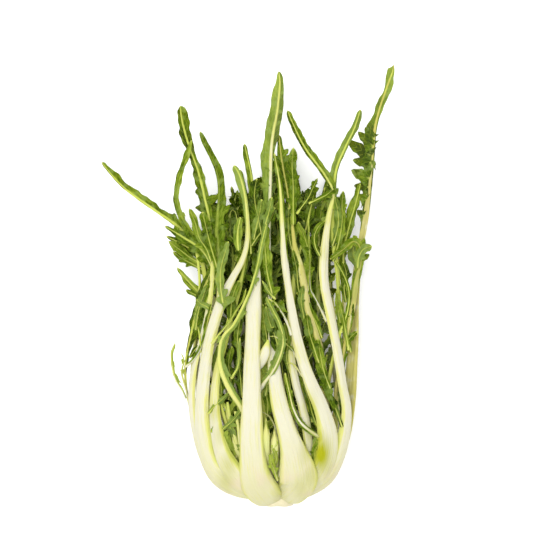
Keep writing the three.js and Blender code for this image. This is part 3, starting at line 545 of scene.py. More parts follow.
HEART_SHOOTS = {
    "heart_shoot_left_outer": dict(
        route=[(-6, 30, 72, 6), (-18, 46, 80, 7), (-28, 62, 86, 6), (-36, 80, 90, 5), (-41, 96, 92, 1.5)],
        fringe=(50, 92, 6, 5, 5),
    ),
    "heart_shoot_left_inner": dict(
        route=[(-4, 26, 76, 6), (-16, 36, 84, 6.5), (-25, 46, 89, 6), (-31, 57, 92, 5), (-35, 70, 93, 1.5)],
        fringe=(36, 68, 5, 5, 5),
    ),
    "heart_shoot_front_tall": dict(
        route=[(2, 26, 80, 6), (-1, 38, 92, 7), (-3, 52, 101, 7), (-3.5, 68, 107, 6.5), (-3.5, 84, 107, 2)],
        fringe=(30, 48, 5, 5, 5), bush=(0.05, 0.45, 7, 11, 60),
    ),
    "heart_shoot_front_short": dict(
        route=[(8, 26, 80, 6), (5, 38, 91, 7), (4.5, 50, 101, 7), (4.5, 62, 106, 6), (4, 74, 106, 2)],
        fringe=(30, 46, 5, 5, 5), bush=(0.05, 0.45, 7, 11, 60),
    ),
    "heart_shoot_middle": dict(
        route=[(6, 34, 62, 9), (2, 52, 65, 11), (-4, 74, 66, 10), (-8, 98, 66, 8), (-10, 112, 66, 2)],
        fringe=(50, 108, 7, 7, 7),
    ),
    "heart_shoot_right": dict(
        route=[(12, 34, 60, 8), (15, 50, 60, 10), (20, 72, 61, 10), (24, 92, 61, 7), (26, 104, 61, 2)],
        fringe=(50, 100, 7, 7, 7),
    ),
    "heart_shoot_left": dict(
        route=[(1, 34, 56, 8), (-8, 50, 54, 10), (-16, 72, 53, 9), (-20, 90, 53, 6), (-22, 100, 53, 2)],
        fringe=(50, 97, 7, 7, 7),
    ),
    "heart_shoot_right_low": dict(
        route=[(12, 34, 54, 8), (16, 50, 48, 10), (20, 72, 44, 9), (23, 90, 43, 6), (24, 100, 43, 2)],
        fringe=(50, 97, 7, 7, 7),
    ),
}
# Side leaves that stand clear in the gaps between the stalks, by the leaf whose piece they join.
# Each gives its blade's widest reach, its tone, its widths and its path, and then its lobes, whose
# places are shares of its length.
SIDE_LEAVES = {
    "left_finger_leaf": [
        sprig(2.4, 0.48, (1.6, 1.5, 1.2, 0.8), [(-62, 188, 60), (-67, 191.5, 60), (-72, 194, 60),
              (-76.5, 196.5, 60)],
              [(0.6, 1, 4, 3, 20)]),
    ],
    "left_frill_leaf": [
        sprig(0.5, 0.98, (1.1, 1, 0.9, 0.7, 0.6), [(-74, 98, 68), (-77, 110, 68), (-80, 122, 68),
              (-78, 133, 68), (-81, 140, 68)],
              [(0.5, 1, 3.6, 2, 40), (0.7, -1, 3.6, 2, 40)], pale=(-0.5, 1.5)),
    ],
    "left_fan_leaf_lower": [
        sprig(3.3, 0.58, EVEN, [(-64, 221, 46), (-73, 226, 45), (-83, 233.5, 45), (-93, 241, 44)],
              [(0.4, -1, 6.4, 3, 20), (0.55, 1, 5.5, 3, 20), (0.7, -1, 5.5, 3, 30), (0.8, 1, 4.5, 3, 30)]),
        sprig(2.5, 0.48, (1.5, 1.2, 1, 0.7), [(-62, 215, 42), (-71, 220, 41), (-81, 225.5, 41),
              (-89, 231.5, 40)],
              [(0.4, -1, 5.5, 3, 20), (0.6, -1, 5.5, 3, 30), (0.75, 1, 3.6, 3, 30)]),
    ],
    "left_rim_leaf": [
        sprig(4, 0.2, (2, 1.6, 1.3, 0.9), [(-64, 140, 72), (-61, 156, 72), (-58, 173, 72), (-55, 187, 72)],
              [(0.3, 1, 5.5, 4, 20), (0.5, -1, 5.5, 4, 20), (0.7, 1, 4.5, 3, 30)], tan=0.4),
        sprig(4.4, 0.43, (2, 1.6, 1.3, 0.9), [(-58, 182, 74), (-54, 196, 74), (-49, 209, 73),
              (-44, 222, 73)],
              [(0.3, 1, 5.5, 4, 20), (0.6, -1, 5.5, 4, 20)]),
        sprig(3.6, 0.63, FULL, [(-67, 160, 70), (-65, 175, 70), (-61, 189, 70), (-56, 202, 70)],
              [(0.3, -1, 4.5, 4, 20), (0.6, 1, 4.5, 4, 20)], grey=0.5),
    ],
    "right_inner_leaf": [
        sprig(2.7, 0.43, EVEN, [(18, 122, 94), (15, 136, 94), (16, 151, 94), (13, 167, 94)],
              [(0.3, -1, 5.5, 3, 20), (0.5, 1, 5.5, 3, 20), (0.7, -1, 4.5, 3, 30)]),
        sprig(2.7, 0.63, EVEN, [(38, 78, 92), (33, 93, 92), (29, 107, 93), (24, 122, 93)],
              [(0.3, 1, 5.5, 3, 20), (0.5, -1, 5.5, 3, 20)]),
        sprig(2.9, 0.2, EVEN, [(44, 55, 88), (37, 69, 89), (34, 84, 89), (30, 98, 90)],
              [(0.3, -1, 5.5, 3, 20), (0.6, 1, 4.5, 3, 20)]),
    ],
    "right_tan_leaf": [
        sprig(3.6, 0.38, STOUT, [(44, 131, 90), (39, 146, 90), (35, 160, 90), (33, 175, 89)],
              [(0.3, 1, 5.5, 4, 20), (0.5, -1, 5.5, 4, 20), (0.7, 1, 4.5, 3, 30)]),
        sprig(3.3, 0.58, STOUT, [(54, 108, 88), (48, 125, 89), (45, 140, 89), (43, 153, 89)],
              [(0.3, -1, 5.5, 4, 20), (0.5, 1, 5.5, 4, 20), (0.7, -1, 4.5, 3, 30)]),
        sprig(3.1, 0.38, STOUT, [(58, 90, 88), (52, 105, 89), (47, 120, 89), (42, 133, 89)],
              [(0.3, 1, 5.5, 4, 20), (0.5, -1, 5.5, 4, 20), (0.7, 1, 4.5, 3, 30)], veined=0.2),
        sprig((2.4, 3.1), 0.25, EVEN, [(28, 187, 82), (25, 202, 82), (24, 216, 82), (20, 233, 82)],
              [(0.3, 1, 4.5, 3, 20), (0.55, -1, 4.5, 3, 20), (0.75, 1, 3.6, 3, 30)]),
        sprig((2.7, 2.4), 0.48, EVEN, [(33, 160, 86), (30, 175, 86), (28, 187, 85), (30, 201, 85)],
              [(0.3, -1, 4.5, 3, 20), (0.6, 1, 4.5, 3, 20)], grey=0.5),
    ],
    "right_serrated_leaf": [
        sprig(4.7, 0.3, EVEN, [(81.8, 209.1, 60), (79.1, 220, 60), (75.4, 230, 61), (77.3, 240.9, 61)],
              [(0.3, 1, 4.5, 4, 20), (0.6, -1, 4.5, 4, 30)], grey=0.9),
        sprig(2.2, 0.58, (1.8, 1.4, 0.9), [(65, 158, 78), (62, 176, 78), (60, 196, 78)],
              [(0.4, 1, 3.6, 3, 30), (0.6, -1, 3.6, 3, 30)]),
        sprig(3.1, 0.38, (1.8, 1.6, 1.4, 1.1, 0.9), [(68, 107, 74), (65, 124, 74), (66, 140, 75),
              (72, 153, 76), (79, 159, 76)],
              [(0.25, -1, 5.5, 3, 20), (0.45, 1, 5.5, 3, 20), (0.6, -1, 4.5, 3, 30),
               (0.75, 1, 4.5, 3, 30)]),
        sprig(2.9, 0.15, STOUT, [(69, 75, 72), (65, 93, 73), (65, 110, 73), (67, 127, 74)],
              [(0.3, 1, 5.5, 3, 20), (0.5, -1, 5.5, 3, 20), (0.7, 1, 4.5, 3, 30)]),
        sprig(2.7, 0.53, EVEN, [(61, 120, 76), (63, 137, 77), (62, 153, 77), (60, 167, 78)],
              [(0.3, -1, 4.5, 3, 20), (0.6, 1, 4.5, 3, 20)], grey=0.5),
        sprig(3.1, 0.2, EVEN, [(69, 185, 76), (67, 198, 76), (69, 211, 76), (66, 222, 76)],
              [(0.3, -1, 5.5, 3, 20), (0.6, 1, 5.5, 3, 20)]),
    ],
    "left_white_leaf": [
        sprig((4.2, 4), 0.6, THIN, [(-28.2, 231.8, 90), (-29.1, 242.7, 89), (-28.2, 252.7, 89),
              (-26.4, 261.8, 88)],
              grey=0.2, veined=1),
        sprig((4.1, 3.2), 0.58, (2, 1.8, 1.5, 1.3, 1.1), [(-42, 185, 97), (-44, 199, 96), (-44, 214, 94),
              (-41, 227, 93), (-37, 240, 92)],
              [(0.03, 1, 11.8, 5, -5), (0.14, 1, 7.3, 4, 20), (0.05, -1, 5.5, 4, 0), (0.3, -1, 4.5, 4, 30),
               (0.5, 1, 4.5, 4, 30)], grey=0.7),
        sprig((1.1, 0.5), 0.78, (3.3, 2.9, 2.5, 2.1, 1.7, 1.4), [(-52, 148, 94), (-45, 157, 95),
              (-37, 167, 97), (-30, 178, 98), (-24, 187, 100), (-21, 198, 101)],
              pale=(-0.6, 0.6)),
        sprig((2.2, 2), 0.58, FULL, [(-55, 86, 97), (-48, 94, 98), (-43, 98, 98), (-37, 105, 99)],
              grey=0.7),
    ],
    "left_tall_leaf": [
        sprig((2.5, 0.5), 0.38, (2.2, 2, 1.7, 1.5, 1.3, 1.1), [(-76, 127, 80), (-69, 133, 82),
              (-63, 142, 84), (-58, 155, 85), (-56, 169, 87), (-52, 185, 89)],
              pale=(0.3, 1.2)),
        sprig(2.4, 0.58, THIN, [(-51, 175, 86), (-56, 181, 86), (-62, 184, 85), (-66, 188, 85)],
              [(0.3, 1, 3.6, 3, 30), (0.6, -1, 3.6, 3, 30)], grey=0.9),
        sprig(2.2, 0.2, (1.1, 0.8, 0.5), [(-64, 146, 80), (-67, 143, 78), (-73, 135, 76)]),
        sprig(0.5, 0.68, (1.3, 1, 0.7), [(-62, 140, 83), (-63, 153, 84), (-65, 164, 84)], grey=0.9),
        sprig(3.2, 0.58, (1.5, 1.2, 1, 0.8, 0.6), [(-53, 222, 80), (-57, 233, 78), (-64, 244, 77),
              (-67, 256, 76), (-73, 270, 74)],
              [(0.35, -1, 8.2, 4, 20), (0.5, 1, 8.2, 4, 35), (0.65, -1, 5.5, 3, 30)]),
        sprig(4.1, 0.38, (1.6, 1.4, 1.2, 1, 0.7), [(-47, 215, 82), (-51, 228, 80), (-55, 242, 79),
              (-58, 255, 78), (-61, 267, 76)],
              [(0.4, 1, 9.1, 5, 30), (0.55, -1, 7.3, 4, 30), (0.7, 1, 7.3, 4, 35)]),
    ],
    "front_cut_leaf": [
        sprig((2, 1.8), 0.58, (1.3, 1.2, 1.1, 0.9, 0.8, 0.7), [(-46, 66, 98), (-42, 72, 99), (-36, 77, 100),
              (-31, 82, 100), (-26, 89, 101), (-25, 94, 102)],
              [(0.38, 1, 8.2, 2.5, 40), (0.5, -1, 5.5, 3, 20), (0.62, 1, 4.5, 2.5, 30)], grey=0.7),
        sprig(3.2, 0.15, SLENDER, [(-27, 78, 90), (-29, 92, 91), (-33, 104, 93), (-37, 115, 94)],
              [(0.3, 1, 6.4, 4, 20), (0.5, -1, 5.5, 4, 20), (0.7, 1, 4.5, 3, 30)]),
        sprig((3.2, 1.8), 0.12, FULL, [(-25, 100, 92), (-26, 115, 93), (-27, 127, 95), (-26, 140, 96)],
              [(0.3, -1, 6.4, 4, 20), (0.6, -1, 5.5, 4, 30)]),
        sprig((4.1, 2.7), 0.38, FULL, [(-27, 140, 90), (-29, 153, 91), (-27, 167, 93), (-24, 180, 94)],
              [(0.2, -1, 7.3, 4, 10), (0.5, -1, 6.4, 4, 30), (0.7, 1, 3.6, 3, 30)]),
    ],
    "front_centre_leaf": [
        sprig(3.6, 0.1, SLENDER, [(19.1, 103.6, 84), (17.3, 116.4, 85), (15.5, 127.3, 85),
              (14.5, 138.2, 86)],
              [(0.3, -1, 4.5, 4, 20), (0.6, 1, 4.5, 4, 30)]),
        sprig(4, 0.05, SLENDER, [(13.6, 100, 86), (12.7, 114.5, 87), (10.9, 127.3, 87), (10, 140, 88)],
              [(0.3, -1, 4.5, 4, 20), (0.6, 1, 4.5, 4, 30)]),
        sprig((3.4, 3.2), 0.28, SLENDER, [(-1.8, 112, 103), (0, 121, 102), (0.9, 131, 101),
              (-0.9, 142, 100)],
              [(0.3, -1, 4.5, 4, 20), (0.5, 1, 4.5, 4, 20)], grey=0.7),
        sprig(0.3, 0.9, (4, 8, 9, 5.4, 1.4), [(-10, 126, 102), (-7, 133, 105), (-4.4, 140, 107),
              (-2.6, 147, 107), (-1.5, 152, 106)],
              blade=2, pale=(0.6, 1)),
        sprig(3.1, 0.6, SLENDER, [(-3.6, 101.8, 99), (-2.7, 111.8, 100), (-3.6, 120.9, 100),
              (-5.5, 130, 101)],
              [(0.4, -1, 3.6, 4, 20), (0.6, 1, 3.6, 4, 30)], grey=0.3),
        sprig(4.1, 0.5, THIN, [(-14.5, 241.8, 80), (-11.8, 254.5, 79), (-9.1, 267.2, 79),
              (-7.3, 278.2, 78)],
              [(0.3, -1, 5.5, 4, 20), (0.5, 1, 5.5, 4, 20), (0.75, -1, 3.6, 3, 30)], grey=0.4),
        sprig(3.6, 0.2, THIN, [(20, 232.7, 76), (17.3, 245.4, 75), (16.4, 258.2, 75), (17.3, 270.9, 74)],
              [(0.3, -1, 5.5, 4, 20), (0.5, 1, 5.5, 4, 20), (0.75, -1, 3.6, 3, 30)]),
        sprig(3.2, 0.35, SLENDER, [(-6.4, 249.1, 84), (-2.7, 260, 83), (0, 270, 83), (1.8, 280, 82)],
              [(0.35, -1, 5.5, 4, 20), (0.6, 1, 4.5, 4, 30)], grey=0.3),
        sprig(3.8, 0.4, SLENDER, [(9.1, 140, 104), (5.5, 152.7, 102), (0, 167.3, 99), (-3.6, 181.8, 97)],
              [(0.3, 1, 4.5, 4, 20), (0.5, -1, 4.5, 4, 20), (0.7, 1, 4.5, 4, 30)], grey=0.6),
        sprig((3.1, 3.6), 0.3, SLENDER, [(0, 120, 108), (3.6, 129.1, 108), (7.3, 138.2, 107),
              (10, 147.3, 107)],
              [(0.4, -1, 4.5, 4, 20)], grey=0.8),
        sprig(3.1, 0.5, THIN, [(-3.6, 138.2, 96), (-2.7, 153.6, 95), (-5.5, 169.1, 94), (-6.4, 183.6, 93)],
              [(0.3, -1, 4.5, 4, 20), (0.6, 1, 4.5, 4, 30)]),
        sprig(4.2, 0.02, (1.3, 1, 0.7), [(6.4, 141.8, 103), (3.6, 152.7, 102), (2.7, 163.6, 101)],
              veined=0.1),
        sprig(2.2, 1.18, (1.5, 1.4, 1.3, 0.8), [(7, 26, 98), (4, 36, 103), (1, 44, 107), (2, 52, 108)],
              [(0.3, 1, 4.5, 2.5, 20), (0.45, -1, 4.5, 2.5, 20), (0.6, 1, 4.5, 2.5, 30),
               (0.8, -1, 3.6, 2.5, 30)]),
        sprig(1.6, 1.08, (1.5, 1.4, 1.2, 0.8), [(2, 36, 98), (6, 46, 104), (4, 55, 108), (7, 63, 109)],
              [(0.3, -1, 4.5, 2.5, 20), (0.5, 1, 3.6, 2.5, 20), (0.7, -1, 3.6, 2.5, 30)]),
        sprig(2.4, 0.2, SLENDER, [(8, 96, 96), (5, 109, 97), (2, 120, 97), (0, 131, 98)],
              [(0.3, 1, 4.5, 3, 20), (0.6, -1, 4.5, 3, 20)]),
        sprig((2.9, 5), 0.53, (1.6, 1.5, 1.4, 1.3, 1.2, 1.1), [(2, 193, 98), (-1, 205, 96), (-3, 216, 93),
              (-4, 229, 91), (-5, 242, 88), (-4, 255, 86)],
              [(0.03, 1, 8.2, 4, 15), (0.05, -1, 7.3, 4, 20), (0.22, 1, 4.5, 4, 30),
               (0.4, -1, 4.5, 4, 30)]),
        sprig((1.2, 1.4), 0.68, (1.3, 1, 0.6), [(5, 188, 99), (-1, 195, 99), (-7, 205, 99)], grey=0.8),
        sprig((4.1, 3.6), 0.38, (1.5, 1.3, 1.1, 0.9), [(-2, 145, 88), (-4, 159, 88), (-2, 173, 88),
              (-4, 185, 88)],
              [(0.2, -1, 5.5, 4, 20), (0.4, 1, 5.5, 4, 20), (0.6, -1, 5.5, 4, 20)], wave=2.2),
        sprig(3.6, 0.48, (1.5, 1.2, 0.9), [(4, 143, 86), (5, 157, 86), (2, 173, 87)],
              [(0.3, 1, 5.5, 4, 20), (0.6, -1, 4.5, 4, 20)], wave=2.2),
        sprig(0.5, 0.98, (0.9, 0.7, 0.5), [(8, 153, 102), (4, 155, 102), (-1, 155, 102)], pale=(-0.5, 1.5)),
        sprig(3.1, 0.43, (1.3, 1, 0.7), [(-2, 84, 94), (-2, 95, 96), (-4, 107, 97)],
              [(0.2, 1, 4.5, 4, 10), (0.5, -1, 3.6, 3, 20)]),
        sprig(0.5, 0.88, (2.2, 2, 1.8, 1.6, 1.5, 1.3), [(8, 29, 94), (10, 45, 96), (8, 60, 98), (5, 73, 99),
              (0, 83, 101), (-7, 88, 103)],
              pale=(1.2, 1.6)),
        sprig(4.5, 0.22, EVEN, [(-7, 245, 80), (-11, 263, 78), (-14, 281, 76), (-12, 297, 74)],
              [(0.3, -1, 7.3, 4, 20), (0.45, 1, 7.3, 4, 20), (0.6, -1, 7.3, 4, 25), (0.8, 1, 5.5, 4, 30),
               (0.85, -1, 5.5, 3, 40)]),
        sprig((4.4, 3.6), 0.32, (1.5, 1.3, 1.1, 0.9, 0.7), [(-16.4, 236.3, 80), (-10.9, 244.5, 80),
              (-4.5, 252.7, 79), (1.8, 262.7, 78), (4.5, 271, 77)],
              [(0.3, 1, 5.5, 4, 20), (0.5, -1, 6.4, 4, 30)]),
    ],
    "front_long_leaf": [
        sprig(2.9, 0.63, (1.6, 1.5, 1.3, 0.8), [(41, 41, 92), (40, 50, 95), (43, 58, 98), (47, 65, 98)],
              [(0.3, -1, 5.5, 3, 20), (0.45, 1, 4.5, 3, 20), (0.7, -1, 4.5, 3, 30)]),
        sprig((0.8, 1), 0.68, (2.7, 2.3, 1.9, 1.5, 1.1), [(19, 156, 101), (15, 168, 101), (10, 178, 102),
              (5, 185, 102), (-2, 189, 102)],
              [(0.5, 1, 9.1, 4, 45), (0.75, -1, 3.6, 3, 30)], pale=(0.2, 1.3)),
        sprig((1.1, 1.5), 0.48, (2.2, 1.5, 0.9), [(25, 135, 100), (20, 143, 100), (14, 149, 101)],
              pale=(0.3, 1.2)),
        sprig((3.2, 2.7), 0.2, (1.4, 1.1, 0.8), [(15, 135, 90), (15, 148, 90), (12, 161, 91)],
              [(0.3, 1, 4.5, 4, 20), (0.6, -1, 4.5, 4, 20)]),
        sprig((0.4, 0.5), 0.98, (1.3, 1.1, 0.9, 0.7), [(29, 119, 101), (24, 127, 101), (19, 131, 101),
              (14, 131, 101)],
              pale=(-0.5, 1.5)),
        sprig((3.6, 2.7), 0.38, (1.6, 1.5, 1.3, 1.1, 0.9), [(43, 73, 93), (38, 86, 93), (35, 98, 93),
              (31, 110, 93), (27, 121, 93)],
              [(0.25, -1, 4.5, 4, 20), (0.5, -1, 4.5, 4, 20), (0.75, -1, 4.5, 4, 20)], wave=1.8),
        sprig((2.4, 2.2), 0.58, (1.3, 1.1, 0.9, 0.7), [(37, 44, 92), (38, 55, 93), (42, 63, 95),
              (47, 68, 96)],
              [(0.3, 1, 4.5, 3, 20)], grey=0.7),
        sprig((3.6, 4.1), 0.43, (1.6, 1.4, 1.2, 1, 0.7), [(21, 255, 82), (21, 273, 80), (21, 291, 79),
              (20, 309, 78), (21, 325, 76)],
              [(0.3, -1, 6.4, 4, 20), (0.35, 1, 8.2, 5, 25), (0.55, 1, 8.2, 4, 30), (0.6, -1, 5.5, 4, 30),
               (0.8, 1, 6.4, 4, 40), (0.85, -1, 4.5, 3, 40)]),
    ],
    "right_hooked_leaf": [
        sprig((3.3, 4.2), 0.3, (1.6, 1.4, 1.2, 1, 0.8), [(56.4, 236.3, 78), (60, 247.2, 78),
              (61.8, 258.2, 79), (60.9, 269.1, 80), (58.2, 280, 80)],
              [(0.3, -1, 4.5, 4, 20), (0.5, 1, 3.6, 3, 30), (0.7, -1, 3.6, 3, 30)], grey=0.3),
        sprig(1.1, 0.48, (2.6, 2.4, 2.1, 1.9, 1.7, 1.5, 1.2, 1), [(51, 168, 86), (47, 177, 84),
              (42, 187, 84), (37, 196, 83), (36, 210, 83), (36, 227, 83), (35, 245, 82), (35, 265, 82)],
              [(0.4, -1, 4.5, 3, 30), (0.6, 1, 5.5, 3, 30), (0.75, -1, 6.4, 3, 30)], pale=(0.3, 1)),
        sprig((5, 1.8), 0.63, (1.6, 1.5, 1.3, 1.1, 0.9), [(35, 195, 80), (35, 215, 80), (35, 232, 79),
              (31, 245, 78), (26, 258, 78)],
              [(0.3, -1, 5.5, 4, 30), (0.6, 1, 5.5, 4, 20)]),
        sprig((2.4, 3.3), 0.53, EVEN, [(47, 153, 84), (42, 166, 84), (37, 177, 83), (34, 186, 83)],
              [(0.3, 1, 4.5, 3, 30), (0.5, -1, 3.6, 3, 20)]),
        sprig(2.7, 0.43, (1.5, 1.3, 1.1, 1, 0.8), [(45, 227, 88), (41, 235, 88), (40, 245, 87),
              (44, 254, 86), (50, 259, 86)],
              fold=30),
        sprig(2, 0.22, (1.8, 1.6, 1.3, 1.1, 0.8), [(24, 265, 86), (30, 273, 86), (35, 280, 86),
              (39, 289, 86), (43, 297, 86)],
              [(0.55, -1, 6.4, 4, 35), (0.65, 1, 7.3, 4, 30), (0.8, -1, 4.5, 3, 40)]),
        sprig(2, 0.4, SLENDER, [(35, 274, 88), (43, 278, 88), (51, 282, 87), (57, 287, 87)],
              [(0.7, 1, 5.5, 3, 20), (0.85, 1, 5.5, 3, 40)]),
        sprig((2.7, 3.1), 0.53, (1.5, 1.3, 1.1, 0.9, 0.7), [(57, 222, 80), (62, 239, 79), (65, 258, 78),
              (65, 274, 77), (66, 286, 76)],
              [(0.35, 1, 5.5, 4, 25), (0.5, -1, 5.5, 4, 25), (0.7, 1, 5.5, 3, 30), (0.8, -1, 4.5, 3, 30)]),
        sprig(2.7, 0.15, FULL, [(65, 73, 84), (59, 90, 85), (52, 105, 85), (45, 117, 86)],
              [(0.4, 1, 4.5, 4, 20), (0.7, -1, 4.5, 4, 20)]),
    ],
    "right_curled_leaf": [
        sprig(3.1, 0.53, STOUT, [(73, 140, 76), (70, 155, 76), (72, 171, 77), (75, 185, 77)],
              [(0.3, 1, 5.5, 3, 20), (0.5, -1, 5.5, 3, 20), (0.7, 1, 4.5, 3, 30)]),
        sprig(3.8, 0.58, (1.6, 1.3, 1, 0.7), [(79, 216, 82), (80, 226, 81), (84, 233, 81), (92, 236, 80)],
              [(0.35, -1, 7.3, 4, 20), (0.4, 1, 6.4, 4, 0), (0.7, -1, 3.6, 3, 40)], grey=0.8),
        sprig(1.8, 0.63, FULL, [(71, 142, 80), (68, 160, 80), (65, 176, 80), (61, 195, 80)],
              [(0.5, 1, 3.6, 3, 30), (0.7, -1, 3.6, 3, 30)]),
    ],
    "left_slim_leaf": [
        sprig(1.5, 0.5, (1.5, 1.3, 1.1, 1, 0.8), [(-34.5, 117.3, 105), (-29.1, 126.4, 106),
              (-27.3, 137.3, 106), (-27.3, 146.3, 106), (-26.4, 154.5, 107)],
              grey=0.9),
        sprig(3.1, 0.3, SLENDER, [(-50, 96.4, 86), (-49.1, 112.7, 87), (-48.2, 130.9, 87),
              (-46.4, 147.3, 88)],
              [(0.3, -1, 3.6, 4, 20), (0.6, 1, 3.6, 4, 30)], grey=0.3),
        sprig(0.4, 0.68, (4, 3.6, 3, 2.6, 2.2), [(-23, 30, 86), (-26, 44, 91), (-30, 60, 94),
              (-35.5, 80, 95), (-38, 96, 94)],
              blade=2, pale=(-1.2, 2.2), rib=3),
        sprig(0.4, 0.68, (3.4, 3, 2.6, 2.2), [(-24, 38, 90), (-26.4, 58, 97), (-28.2, 74, 99),
              (-31, 88, 98)],
              blade=2, pale=(-0.6, 2.2), rib=3),
        sprig(0.4, 0.68, (3, 2.6, 2.2, 2), [(-30, 46, 88), (-35.5, 67, 91), (-41, 83, 92), (-44.5, 98, 92)],
              blade=2, pale=(-1.2, 1.6), rib=3),
        sprig(2.5, 0.78, EVEN, [(-44, 49, 90), (-39, 60, 91), (-35, 71, 92), (-36, 83, 93)],
              [(0.3, 1, 4.5, 3, 20), (0.5, -1, 4.5, 3, 20), (0.7, 1, 3.6, 3, 30)]),
        sprig(2, 1.18, SLENDER, [(-35, 27, 88), (-35, 40, 90), (-33, 51, 91), (-36, 62, 93)],
              [(0.3, 1, 4.5, 2.5, 20), (0.45, -1, 4.5, 2.5, 20), (0.6, 1, 3.6, 2.5, 30),
               (0.75, -1, 3.6, 2.5, 30)]),
        sprig(2.2, 0.63, SLENDER, [(-29, 40, 86), (-30, 53, 88), (-28, 64, 90), (-31, 75, 92)],
              [(0.3, -1, 4.5, 2.5, 20), (0.5, 1, 4.5, 2.5, 20), (0.7, -1, 3.6, 2.5, 30)]),
        sprig(3.1, 0.38, EVEN, [(-37, 98, 88), (-35, 115, 89), (-37, 131, 89), (-34, 146, 90)],
              [(0.3, -1, 5.5, 3, 20), (0.5, 1, 5.5, 3, 20), (0.7, -1, 4.5, 3, 30)]),
        sprig(4.1, 0.15, (1.6, 1.3, 1, 0.7), [(-42, 216, 70), (-41, 236, 69), (-41.5, 256, 67),
              (-43, 272, 65)],
              [(0.35, 1, 6.4, 4, 20), (0.5, -1, 6.4, 4, 20), (0.7, 1, 5.5, 4, 30)]),
        sprig(3.6, 0.25, (1.6, 1.3, 1, 0.7), [(-17, 229, 80), (-18, 249, 78), (-21, 268, 76),
              (-23, 284, 74)],
              [(0.35, 1, 6.4, 4, 20), (0.5, -1, 6.4, 4, 20), (0.7, 1, 5.5, 4, 30), (0.8, -1, 4.5, 3, 30)]),
        sprig(3.8, 0.43, FULL, [(-35, 160, 88), (-35, 176, 87), (-33, 192, 87), (-28, 205, 86)],
              [(0.3, 1, 5.5, 4, 20), (0.5, -1, 5.5, 4, 20)]),
        sprig(2.7, 0.2, (1.5, 1.1, 0.8), [(-44, 96, 90), (-44, 111, 91), (-47, 125, 92)],
              [(0.4, 1, 4.5, 3, 20)]),
    ],
}
# Every leaf's own look goes over these. rib: width of the rib in mm. grey, tan: strength of the grey
# on the blade, partly its own greyish waxy coat and partly painted bluish-grey highlight, and of the
# khaki patches on the stalk. wave: height of the blade's waves in mm.
# quilt: height of its puckers in mm. fold: angle of the wings away from the leaf's back, in degrees.
# ragged: how unevenly the blade's edge runs. veined: how pale the rib stays along the blade.
# split: how far the blade's two halves differ in tone: painted light on one half and painted shade on
# the other. round: thickness of the stalk for its width.
# rounding: length in mm over which its root end rounds off. fine: whether it has dense sections.
# bush: (from, to, how many, length, spread in degrees) of the side leaves placed at random.
LOOK = dict(
    back=(0, 0), blade=0.66, rib=1.5, tone=0.5, grey=0.0, tan=0.0, pale=(0.5, 0.9), wave=1.0, fold=12.0,
    wings=[(0, 0.3, 0.3), (1, 0.3, 0.3)], lobes=[], fringe=None, bush=None, round=0.5, ragged=0.05,
    veined=1.0, quilt=0.45, split=0.0, fine=True, rounding=12.0,
)
SHOOT_LOOK = dict(
    blade=0.8, rib=1.6, tone=0.95, pale=(0.5, 1.3), round=1.0, wave=0.5, fold=30.0,
    wings=[(0, 0.3, 0.3), (0.7, 0.4, 0.4), (0.9, 1.2, 1.2), (1, 0.3, 0.3)], bush=(0.15, 0.95, 8, 24, 50),
)
SIDE_LOOK = dict(
    blade=0.05, rib=0.9, pale=(-1.0, 0.5), fold=14.0, ragged=0.12, wave=1.0, veined=0.65, fine=False,
    rounding=2.0,
)
MIDDLE_LOOK = dict(
    blade=0.6, ragged=0.2, pale=(0.35, 0.75), bush=(0.08, 0.95, 24, 44, 42), veined=0.55,
)
UNDER_LOOK = dict(pale=(0.5, 0.85))
# How far along the head the side leaves reach, by the place across it, in mm.
REACH_LIMIT = np.array([
    (-66, 244), (-46, 258), (-40, 246), (-28, 242), (-24, 262), (-18, 268), (-10, 284), (0, 300),
    (18, 316), (25, 290), (34, 278), (45, 274), (62, 276), (75, 262),
], float)
# Room that the side leaves keep to: distance along the head, left, right, lowest, highest, in mm.
ROOM = np.array([
    (0, -10, 25, 30, 70), (25, -44, 48, 14, 88), (60, -58, 64, 6, 99), (120, -62, 68, 4, 100),
    (180, -55, 70, 4, 94), (230, -52, 72, 4, 84), (270, -50, 66, 4, 76), (310, -24, 46, 4, 72),
    (345, -10, 20, 4, 66),
], float)

# Yellow-green painted shade in the creases between the stalks near the root: where each patch is and how far
# it reaches, in metres on the row, and how strong it is.
CREASE_SHADE_SPOTS = [
    (0.0655, -0.1516, 0.096, 0.0135, 1.25), (0.0640, -0.1380, 0.098, 0.0080, 0.9),
    (0.0710, -0.1630, 0.091, 0.0130, 0.35), (0.0500, -0.1500, 0.095, 0.0100, 0.6),
    (0.0560, -0.1700, 0.090, 0.0120, 0.5), (0.0480, -0.1800, 0.088, 0.0120, 0.35),
    (0.0280, -0.1850, 0.085, 0.0100, 0.35), (-0.0200, -0.1760, 0.090, 0.0120, 0.45),
    (0.0200, -0.1640, 0.100, 0.0100, 0.35), (-0.0290, -0.1134, 0.095, 0.0100, 0.45),
    (-0.0240, -0.1316, 0.094, 0.0100, 0.5), (-0.0170, -0.1588, 0.093, 0.0110, 0.5),
    (0.0550, -0.1080, 0.099, 0.0110, 0.55), (0.0575, -0.1300, 0.098, 0.0110, 0.7),
]
CREASE_SHADE_STRETCH = (1, 0.5, 0.35)  # how much a distance across, along and up counts within a patch of painted crease shade

# Distance in mm between the sections of a stalk, a blade and a side leaf.
STALK_PITCH, BLADE_PITCH, SIDE_PITCH = 4.0, 1.9, 2.6
# Points of a section across a wing, over the back and over the inner face: fine, and for side leaves.
SECTIONS = {
    True: (np.linspace(0, 1, 6), np.radians(np.linspace(168, 12, 11)), np.radians(np.linspace(14, 166, 7))),
    False: (np.linspace(0, 1, 4), np.radians(np.linspace(160, 20, 5)), np.radians(np.linspace(30, 150, 3))),
}
